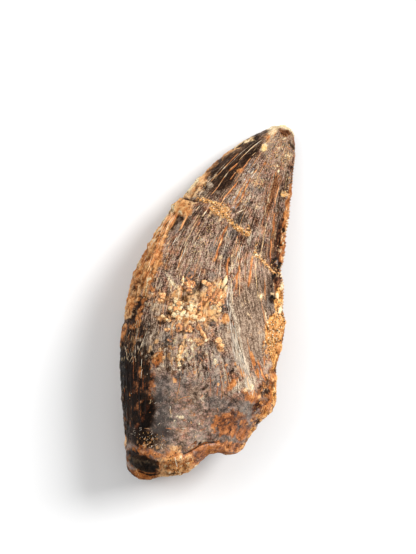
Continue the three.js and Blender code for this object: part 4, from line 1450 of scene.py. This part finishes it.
def hairlines(random):
    """Short stray lines of mineral."""
    for count, centre, reach, lengths, lean, tints in HAIRLINES:
        for _ in range(count):
            start = np.array(spot_in(random, centre, reach))
            heading = random.uniform(-lean, lean)
            bend = random.uniform(-0.3, 0.3)
            step = random.uniform(*lengths) / 4
            aims = [np.array((math.sin(heading + bend * i / 4), -math.cos(heading))) for i in range(5)]
            line = [start + step * i * aim for i, aim in enumerate(aims)]
            yield line, random.uniform(0.04, 0.075), random.uniform(*tints)


def filled_lines(skin, random):
    """The cracks to fill, as points, width and shade: seams, growth lines, fibres and hairlines."""
    lines = [
        (points, 0.72 * width, VEIN_SHADES[tone])
        for tone, width, _, points in SEAMS
        if tone in VEIN_SHADES and VEIN_WIDTHS[0] < width < VEIN_WIDTHS[1]
    ]
    for _ in range(FINE_VEINS):
        place = random.uniform(-7, 4.5), random.uniform(-11, 18)
        reach = random.uniform(0.5, 2.2)
        points = [*reversed(growth_run(skin, place, 1, reach)), place, *growth_run(skin, place, -1, reach)]
        shade, width = random.uniform(0.25, 0.85), random.uniform(0.04, 0.09)
        lines.append((points, width, shade))
    return [*lines, *fibre_lines(random), *hairlines(random)]


def crack_fillings(skin, tree):
    """The bright minerals in the cracks. On the map, a filling's rings lie side by side."""
    random = np.random.default_rng(31)
    mesh = bpy.data.meshes.new("crack_fillings")
    whole = bmesh.new()
    shades, owner, spots = [], [], []
    for number, (points, width, shade) in enumerate(filled_lines(skin, random)):
        shape = bmesh.new()
        drawn = draw_vein(shape, tree, points, width, shade, random)
        shades += drawn
        owner += [number] * len(drawn)
        rings = len(drawn) // VEIN_CORNERS
        spots += [(i / rings, j / VEIN_CORNERS) for i in range(rings) for j in range(VEIN_CORNERS)]
        bmesh.ops.recalc_face_normals(shape, faces=shape.faces)
        join(whole, shape, mesh)
    whole.to_mesh(mesh)
    whole.free()
    mesh.shade_smooth()
    corners = np.empty(len(mesh.loops), np.int32)
    mesh.loops.foreach_get("vertex_index", corners)
    layer = mesh.uv_layers.new(name=BAKE_MAP)
    layer.data.foreach_set("uv", np.asarray(spots, np.float32)[corners].ravel())
    into_cells(mesh, owner)
    return scene_piece(mesh, shades)


# ======================================== materials
class Number:
    """A shader number. Sums on it add Math nodes."""

    def __init__(self, material, socket):
        self.material = material
        self.socket = socket

    def _maths(self, operation, *values):
        inputs = {i: value for i, value in enumerate(values)}
        return self.material.number("ShaderNodeMath", {"operation": operation}, inputs)

    def __add__(self, other):
        return self._maths("ADD", self, other)

    def __radd__(self, other):
        return self._maths("ADD", other, self)

    def __sub__(self, other):
        return self._maths("SUBTRACT", self, other)

    def __rsub__(self, other):
        return self._maths("SUBTRACT", other, self)

    def __mul__(self, other):
        return self._maths("MULTIPLY", self, other)

    def __rmul__(self, other):
        return self._maths("MULTIPLY", other, self)

    def largest(self, other):
        return self._maths("MAXIMUM", self, other)

    def smallest(self, other):
        return self._maths("MINIMUM", self, other)

    def size(self):
        return self._maths("ABSOLUTE", self)

    def between(self, low, high):
        """0 at low, 1 at high, and smooth between them."""
        inputs = {"Value": self, "From Min": low, "From Max": high}
        return self.material.number("ShaderNodeMapRange", {"interpolation_type": "SMOOTHSTEP"}, inputs)


class Finish:
    """A material being put together."""

    def __init__(self, name, roughness, specular):
        self.data = bpy.data.materials.new(name)
        self.data.use_nodes = True
        self.tree = self.data.node_tree
        self.shader = self.tree.nodes["Principled BSDF"]
        self.shader.inputs["Roughness"].default_value = roughness
        self.shader.inputs["Specular IOR Level"].default_value = specular

    def node(self, kind, settings, inputs, output=0):
        """Adds a node, sets it up, and gives its output socket."""
        made = self.tree.nodes.new(kind)
        for key, value in settings.items():
            if key == "stops":
                self._set_stops(made.color_ramp, value)
            else:
                setattr(made, key, value)
        for key, value in inputs.items():
            self.feed(made.inputs[key], value)
        return made.outputs[output]

    def feed(self, socket, value):
        """Links or sets a socket."""
        if isinstance(value, Number):
            value = value.socket
        if isinstance(value, bpy.types.NodeSocket):
            self.tree.links.new(value, socket)
        elif isinstance(value, tuple) and len(value) == 3 and socket.type == "RGBA":
            socket.default_value = (*value, 1)
        else:
            socket.default_value = value

    @staticmethod
    def _set_stops(ramp, stops):
        while len(ramp.elements) < len(stops):
            ramp.elements.new(0.5)
        for element, (place, colour) in zip(ramp.elements, stops):
            element.position = place
            element.color = (*colour, 1)

    def number(self, kind, settings, inputs, output=0):
        return Number(self, self.node(kind, settings, inputs, output))

    def mask(self, label):
        """A number that the mesh holds for each of its points."""
        return self.number("ShaderNodeAttribute", {"attribute_name": label}, {}, "Fac")

    def place(self):
        """Object coordinates in millimetres."""
        metres = self.node("ShaderNodeTexCoord", {}, {}, "Object")
        scaling = {"operation": "SCALE"}
        return self.node("ShaderNodeVectorMath", scaling, {0: metres, "Scale": 1 / MM})

    def mixed(self, first, second, share, blend="MIX"):
        """Two colours, mixed."""
        settings = {"data_type": "RGBA", "blend_type": blend}
        return self.node("ShaderNodeMix", settings, {0: share, 6: first, 7: second}, 2)

    def noise(self, vector, size, detail=3, roughness=0.6):
        """Noise round 0.5, of one size in the vector's own unit."""
        inputs = {"Vector": vector, "Scale": 1 / size, "Detail": detail, "Roughness": roughness}
        return self.number("ShaderNodeTexNoise", {}, inputs, "Fac")

    def threads(self, vector, size, width, detail=2):
        """Thin wandering lines, 1 on the line and 0 off it."""
        return (self.noise(vector, size, detail, 0.55) - 0.5).size().between(width, 0)

    def specks(self, vector, size, share):
        """Round specks in a share of the cells of one size: 1 in a speck's middle."""
        inputs = {"Vector": vector, "Scale": 1 / size, "Randomness": 1.0}
        way = self.number("ShaderNodeTexVoronoi", {}, inputs, "Distance")
        chance = self.node("ShaderNodeTexVoronoi", {}, inputs, "Color")
        chosen = self.number("ShaderNodeSeparateColor", {}, {0: chance}, 0).between(share + 0.02, share)
        return way.between(0.5, 0.25) * chosen

    def ramp(self, value, stops):
        return self.node("ShaderNodeValToRGB", {"stops": stops}, {"Fac": value})

    def done(self, colour, roughness, height, depth):
        """Feeds the shader, with a bump of some depth, and gives the material."""
        self.feed(self.shader.inputs["Base Color"], colour)
        self.feed(self.shader.inputs["Roughness"], roughness)
        inputs = {"Height": height, "Strength": 1.0, "Distance": depth}
        normal = self.node("ShaderNodeBump", {}, inputs, "Normal")
        self.feed(self.shader.inputs["Normal"], normal)
        return self.data


# Colours by tone: (tone, colour).
ENAMEL = [
    (0.08, (0.032, 0.015, 0.009)), (0.28, (0.125, 0.066, 0.043)), (0.44, (0.262, 0.15, 0.107)),
    (0.6, (0.4, 0.25, 0.184)), (0.85, (0.68, 0.485, 0.36)),
]
# Grey-pink colours for the pearly lower crown: partly its own colour, partly painted sheen.
SHEEN_GREY_PINK = [(0.2, (0.11, 0.082, 0.068)), (0.5, (0.26, 0.19, 0.155)), (0.8, (0.46, 0.36, 0.29))]
GRAIN_COLOURS = [
    (0.1, (0.02, 0.01, 0.005)), (0.3, (0.26, 0.11, 0.035)), (0.5, (0.74, 0.33, 0.09)),
    (0.7, (0.87, 0.48, 0.15)), (0.85, (0.94, 0.78, 0.44)), (1.0, (0.95, 0.93, 0.86)),
]
KNOB_COLOURS = [
    (0.05, (0.05, 0.036, 0.027)), (0.24, (0.22, 0.16, 0.125)), (0.38, (0.58, 0.225, 0.09)),
    (0.52, (0.88, 0.4, 0.145)), (0.66, (0.94, 0.56, 0.25)), (0.82, (0.96, 0.74, 0.41)),
    (1.0, (0.97, 0.88, 0.6)),
]
VEIN_COLOURS = [
    (0.0, (0.012, 0.006, 0.004)), (0.08, (0.24, 0.06, 0.014)), (0.23, (0.66, 0.19, 0.045)),
    (0.39, (0.86, 0.42, 0.16)), (0.52, (0.9, 0.68, 0.42)), (0.67, (0.92, 0.84, 0.7)),
    (0.8, (0.6, 0.5, 0.4)), (1.0, (0.36, 0.28, 0.22)),
]
DENTICLE_COLOURS = [
    (0.15, (0.07, 0.026, 0.012)), (0.38, (0.34, 0.15, 0.07)), (0.58, (0.66, 0.42, 0.24)),
    (0.85, (0.92, 0.78, 0.54)),
]
PAINTS = {
    "sand": [
        (0.15, (0.06, 0.022, 0.007)), (0.34, (0.3, 0.13, 0.042)), (0.5, (0.7, 0.28, 0.066)),
        (0.66, (0.84, 0.4, 0.11)), (0.85, (0.92, 0.62, 0.26)),
    ],
    "ochre": [(0.2, (0.2, 0.08, 0.032)), (0.5, (0.64, 0.315, 0.13)), (0.8, (0.9, 0.58, 0.29))],
    "grey": [(0.25, (0.05, 0.041, 0.036)), (0.5, (0.155, 0.128, 0.11)), (0.8, (0.3, 0.26, 0.22))],
    "drab": [(0.2, (0.075, 0.042, 0.025)), (0.5, (0.31, 0.2, 0.132)), (0.8, (0.56, 0.42, 0.3))],
    # the colours of painted glints
    "pearl": [(0.2, (0.3, 0.26, 0.25)), (0.5, (0.62, 0.58, 0.58)), (0.8, (0.88, 0.85, 0.84))],
    "umber": [(0.2, (0.012, 0.005, 0.002)), (0.5, (0.05, 0.023, 0.012)), (0.9, (0.22, 0.12, 0.065))],
    "dark": [(0.25, (0.004, 0.002, 0.001)), (0.5, (0.018, 0.007, 0.003)), (0.9, (0.11, 0.05, 0.024))],
    "russet": [(0.2, (0.03, 0.008, 0.003)), (0.5, (0.17, 0.052, 0.018)), (0.8, (0.42, 0.17, 0.065))],
    "black": [(0.3, (0.005, 0.003, 0.002)), (0.8, (0.04, 0.022, 0.012))],
    "pale": [(0.2, (0.22, 0.15, 0.1)), (0.5, (0.52, 0.39, 0.27)), (0.8, (0.78, 0.64, 0.48))],
    "rust": [(0.2, (0.09, 0.026, 0.009)), (0.5, (0.44, 0.138, 0.034)), (0.8, (0.72, 0.28, 0.075))],
    "orange": [(0.2, (0.32, 0.09, 0.022)), (0.5, (0.64, 0.245, 0.075)), (0.8, (0.9, 0.5, 0.2))],
    "cream": [(0.2, (0.52, 0.27, 0.12)), (0.5, (0.86, 0.59, 0.3)), (0.8, (0.97, 0.86, 0.58))],
}

# How wide a tone's border is, and the most of the ground that it hides.
COVER = {"grey": (0.45, 0.65), "drab": (0.32, 0.94), "umber": (0.24, 1), "dark": (0.4, 1), "black": (0.2, 1)}
USUAL_COVER = (0.2, 0.94)
LOOSE_TONES = ("ochre", "sand", "rust")


class FossilSkin(Finish):
    """Mineralised enamel with sediment in its cracks, steered by the skin's masks."""

    def __init__(self):
        super().__init__("fossil_enamel", roughness=0.5, specular=0.05)
        self.spot = self.place()
        self.along = self.number("ShaderNodeSeparateXYZ", {}, {0: self.spot}, 1)
        self.level = self.number("ShaderNodeSeparateXYZ", {}, {0: self.spot}, 2)
        self.hollow = self.mask("hollow")
        self.glassy = self.mask("glassy")
        self.pearly = self.mask("pearly")
        self.shade = self.mask("shade")
        self.lines = self.stretched(0.06)
        self.short_lines = self.stretched(0.09)
        self.striae = self.noise(self.lines, 0.3, 4, 0.62) - 0.5
        self.fine_lines = self.noise(self.short_lines, 0.13, 2, 0.6) - 0.5
        self.dashes = self.noise(self.stretched(0.4), 0.16, 2, 0.7) - 0.5
        self.mottle = self.noise(self.spot, 2.2, 3, 0.6) - 0.5
        self.blots = self.noise(self.spot, 0.6, 3, 0.65) - 0.5
        self.grit = self.noise(self.spot, 0.17, 2, 0.75) - 0.5
        self.ribbed = (1 - self.pearly * 0.88) * (1 - self.glassy * 0.45)

    def stretched(self, share):
        """Coordinates along the growth lines. A smaller share makes longer streaks."""
        inputs = {0: self.mask("grain"), 1: self.along * share, 2: self.level * share}
        return self.node("ShaderNodeCombineXYZ", {}, inputs)

    def enamel_tone(self):
        """How light the enamel is: growth lines, mottled and gritty, curdled where it's pearly, and with
        painted light and shade: lighter on raised points and darker in low ones.
        """
        lined = (self.striae * 0.5 + self.fine_lines * 1.9 + self.dashes * 1.1) * self.ribbed
        dust = self.noise(self.spot, 0.1, 1, 0.6) - 0.5
        curds = self.noise(self.spot, 0.42, 4, 0.7) + self.noise(self.spot, 1.0, 4, 0.6) - 1
        tone = 0.47 + self.shade * 0.22 + lined + self.mottle * 0.85
        tone = tone + self.blots * 0.2 + dust * 1.7 * (1 - self.pearly * 0.6)
        tone = tone + self.grit * 1.4 * (1 - self.glassy * 0.25)
        return tone + curds * self.pearly * 1.1 + self.hollow * 0.10

    def enamel(self, tone):
        """The enamel's colour: ruddy, brown and grey in places, with pale flecks, and a grey-pink cast where
        it's pearly that is partly painted sheen.
        """
        colour = self.ramp(tone, ENAMEL)
        ruddy = (self.noise(self.spot, 1.3, 3, 0.6) + self.striae * 0.4).between(0.5, 0.66)
        colour = self.mixed(colour, (1.0, 0.66, 0.44), ruddy * 0.75, "MULTIPLY")
        uneven = (self.mottle + self.blots * 0.5).between(-0.22, 0.1)
        # partly painted sheen: a grey-pink cast over the pearly lower crown
        sheen_grey_pink = self.pearly * (1 - self.along.between(5, 8)) * uneven
        colour = self.mixed(colour, self.ramp(tone, SHEEN_GREY_PINK), sheen_grey_pink * 0.8)
        warm = self.noise(self.short_lines, 0.55, 3, 0.6).between(0.56, 0.68)
        colour = self.mixed(colour, (0.5, 0.24, 0.1), warm * 0.45 * self.ribbed)
        bluish = self.noise(self.spot, 1.9, 4, 0.6).between(0.55, 0.7)
        colour = self.mixed(colour, self.ramp(tone, PAINTS["grey"]), bluish * 0.6)
        rosy = self.noise(self.spot, 0.42, 3, 0.7).between(0.44, 0.6)
        cast = self.mixed((0.9, 0.98, 0.9), (1.08, 0.95, 0.94), rosy)
        colour = self.mixed(colour, cast, 0.8, "MULTIPLY")
        stained = self.noise(self.spot, 1.1, 4, 0.65).between(0.52, 0.64) * self.pearly
        colour = self.mixed(colour, (1.0, 0.74, 0.52), stained * 0.9, "MULTIPLY")
        flecks = self.specks(self.short_lines, 0.2, 0.16) * (self.blots + self.mottle).between(-0.1, 0.16)
        return self.mixed(colour, (0.66, 0.5, 0.37), flecks * (0.7 - self.pearly * 0.4))

    def sediment(self, colour, tone):
        """Lays the masks' tones on a colour. Gives it, the roughness, and where the ground is loose."""
        base = 0.5 + self.shade * 0.1
        # painted light and shade: the rough and smooth tones are lighter on raised points and darker in low
        # ones; the rust tone leaves this out
        rough_tone = base + self.grit * 1.8 + self.blots + self.mottle * 0.8 + self.striae * 0.3
        rough_tone = rough_tone + self.hollow * 0.18
        rust_tone = base + self.grit * 0.8 + self.blots * 0.9 + self.mottle * 0.8 + self.striae * 0.6
        smooth_tone = rust_tone + self.hollow * 0.15
        values = {
            "sand": rough_tone,
            "cream": rough_tone,
            "ochre": smooth_tone,
            "orange": smooth_tone,
            "rust": rust_tone,
        }
        broken = self.blots + self.grit * 0.5 + self.striae * 0.6 * self.ribbed
        rough = 0.46 + self.grit * 0.3 - self.glassy * 0.12
        loose = 0.0
        for label in TONES:
            spread, most = COVER.get(label, USUAL_COVER)
            share = (self.mask(label) + broken * 0.7).between(0.5 - spread, 0.5 + spread) * most
            colour = self.mixed(colour, self.ramp(values.get(label, tone), PAINTS[label]), share)
            if label in LOOSE_TONES:
                rough = rough + share * 0.3
                loose = share.largest(loose)
        return colour, rough.smallest(0.9), loose

    def wear(self, colour, loose):
        """Cracks, specks, painted shade in low hollows and a painted highlight on raised tops, with some
        rubbing wear. Gives the colour and the bump's height.
        """
        open_ground = 1 - self.glassy * 0.6
        cracks = self.threads(self.lines, 1.1, 0.012) * self.mottle.between(-0.05, 0.12) * open_ground
        web = self.threads(self.spot, 0.9, 0.016, 3) * self.blots.between(0.12, -0.12) * open_ground
        colour = self.mixed(colour, (0.03, 0.012, 0.006), (cracks * 0.8).largest(web * 0.5))
        pinholes = self.specks(self.spot, 0.28, 0.11) * loose * 0.85
        colour = self.mixed(colour, (0.01, 0.005, 0.003), pinholes)
        # painted shade: darker in the low points of the relief
        colour = self.mixed(colour, (0.04, 0.015, 0.006), self.hollow.between(-0.35, -1.3) * 0.6)
        # painted highlight on raised points, mixed with rubbing wear; less on rust, orange and black
        rusty = self.mask("rust").largest(self.mask("orange")).largest(self.mask("black"))
        highlight_and_rubbing = (self.hollow + self.grit).between(0.55, 1.1) * (0.35 - rusty * 0.3)
        colour = self.mixed(colour, (0.8, 0.58, 0.34), highlight_and_rubbing)
        height = (self.striae * 0.5 + self.fine_lines * 0.8) * self.ribbed + self.blots * 0.5
        height = height + self.grit * 0.9 - cracks * 0.5 - web * 0.4
        return colour, height * open_ground

    def add_gloss(self):
        """A thin clear coat where the enamel is pearly and unstained."""
        stained = self.mask("umber").largest(self.mask("dark")).largest(self.mask("black"))
        bright = stained.between(0.5, 0.1)
        self.feed(self.shader.inputs["Coat Weight"], self.pearly * bright * (0.55 + self.blots))
        self.shader.inputs["Coat Roughness"].default_value = 0.3


def fossil_finish():
    """The tooth's skin: enamel under sediment, worn, with painted light and shade on its relief."""
    skin = FossilSkin()
    tone = skin.enamel_tone()
    colour, rough, loose = skin.sediment(skin.enamel(tone), tone)
    colour, height = skin.wear(colour, loose)
    skin.add_gloss()
    return skin.done(colour, rough, height, depth=0.22 * MM)


def grain_finish():
    """Sand, from near-black iron grains to pale quartz: one tone for each grain."""
    sand = Finish("sand_grain", roughness=0.6, specular=0.3)
    tone = sand.mask("shade") + (sand.noise(sand.place(), 0.12, 2) - 0.5) * 0.3
    return sand.done(sand.ramp(tone, GRAIN_COLOURS), 0.5 + tone * 0.2, tone, depth=0.02 * MM)


def nodule_finish():
    """Knobs of mineral: grey, orange and tan to cream, with painted shade in dark folds drawn by noise."""
    knob = Finish("mineral_knob", roughness=0.5, specular=0.2)
    place = knob.place()
    folds = knob.threads(place, 0.7, 0.03, 3)
    grit = knob.noise(place, 0.14, 2, 0.7) - 0.5
    tone = knob.mask("shade") + (knob.noise(place, 0.45, 3, 0.6) - 0.5) * 0.7 + grit * 0.8
    # painted shade: the folds darken the colour
    colour = knob.mixed(knob.ramp(tone, KNOB_COLOURS), (0.12, 0.045, 0.02), folds * 0.6)
    return knob.done(colour, 0.6 - tone * 0.15, tone - folds * 0.5, depth=0.06 * MM)


def vein_finish():
    """The mineral in a crack, from rust over orange to cream along its length."""
    vein = Finish("crack_mineral", roughness=0.45, specular=0.3)
    tone = vein.mask("shade") + (vein.noise(vein.place(), 0.25, 3) - 0.5) * 0.5
    return vein.done(vein.ramp(tone * 0.67, VEIN_COLOURS), 0.6 - tone * 0.15, tone, depth=0.03 * MM)


def denticle_finish():
    """Worn enamel of the serrated edge, from dark brown to pale."""
    edge = Finish("worn_denticle", roughness=0.5, specular=0.25)
    place = edge.place()
    tone = edge.mask("shade") * 0.6 + edge.noise(place, 0.4, 3) * 0.6 - 0.05
    grit = edge.noise(place, 0.15, 2)
    return edge.done(edge.ramp(tone, DENTICLE_COLOURS), 0.45 + tone * 0.1, grit, depth=0.06 * MM)


# ======================================== studio
LIGHT_DISTANCE = 1.2  # metres
# Each light: its name, the direction it comes from, its size and its power.
LIGHTS = [
    ("key", (0.75, 0.75, 0.8), 0.6, 16),
    ("fill", (-0.25, 0.7, 0.9), 1.0, 2),
    ("side", (-0.9, 0.15, 0.7), 0.85, 5.2),
]


def make_camera():
    """Straight above the tooth, turned so that the tip leans to the right."""
    lens = 300.0
    lean = math.radians(16)
    view_height = 1.459 * LENGTH
    camera_data = bpy.data.cameras.new("camera")
    camera_data.lens = lens
    camera = add_object("camera", camera_data)
    way = view_height * MM * lens / camera_data.sensor_width
    aim = Vector((-0.0383, 0.0583, 0)) * LENGTH * MM
    camera.location = MIDDLE + aim + Vector((0, 0, way))
    camera.rotation_euler = (0, 0, lean)
    camera_data.clip_start = 0.001
    camera_data.clip_end = 30
    bpy.context.scene.camera = camera


def make_light(name, direction, size, power):
    """A square soft light that faces the tooth."""
    data = bpy.data.lights.new(name, "AREA")
    data.size = size
    data.energy = power
    lamp = add_object(name, data)
    towards = Vector(direction).normalized()
    lamp.location = MIDDLE + towards * LIGHT_DISTANCE
    lamp.rotation_mode = "QUATERNION"
    lamp.rotation_quaternion = towards.to_track_quat("Z", "Y")


def make_studio():
    """A wide pale floor, three lights and an even sky."""
    floor_mesh = bpy.data.meshes.new("floor")
    shape = bmesh.new()
    bmesh.ops.create_circle(shape, cap_ends=True, segments=96, radius=3)
    shape.to_mesh(floor_mesh)
    shape.free()
    floor = add_object("floor", floor_mesh)
    paper = Finish("floor_paper", roughness=0.9, specular=0.1)
    paper.shader.inputs["Base Color"].default_value = (0.93, 0.93, 0.93, 1)
    floor_mesh.materials.append(paper.data)
    for light in LIGHTS:
        make_light(*light)
    world = bpy.data.worlds.new("studio")
    world.use_nodes = True
    world.node_tree.nodes["Background"].inputs["Color"].default_value = (1, 1, 1, 1)
    world.node_tree.nodes["Background"].inputs["Strength"].default_value = 0.38
    bpy.context.scene.world = world
    bpy.context.scene.view_settings.view_transform = "Standard"


make_camera()
skin, places, masks = tooth_skin()
tooth = mesh_from_grid("tooth_skin", places, masks)
tree = skin_tree(tooth.data)
pieces = [
    (tooth, fossil_finish()),
    (serrations(places), denticle_finish()),
    (nodules(tree), nodule_finish()),
    (sand_grains(tree), grain_finish()),
    (crack_fillings(skin, tree), vein_finish()),
]
for piece, finish in pieces:
    piece.data.materials.clear()
    piece.data.materials.append(finish)
    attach(piece, BODY)
    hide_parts(NODE)
make_studio()
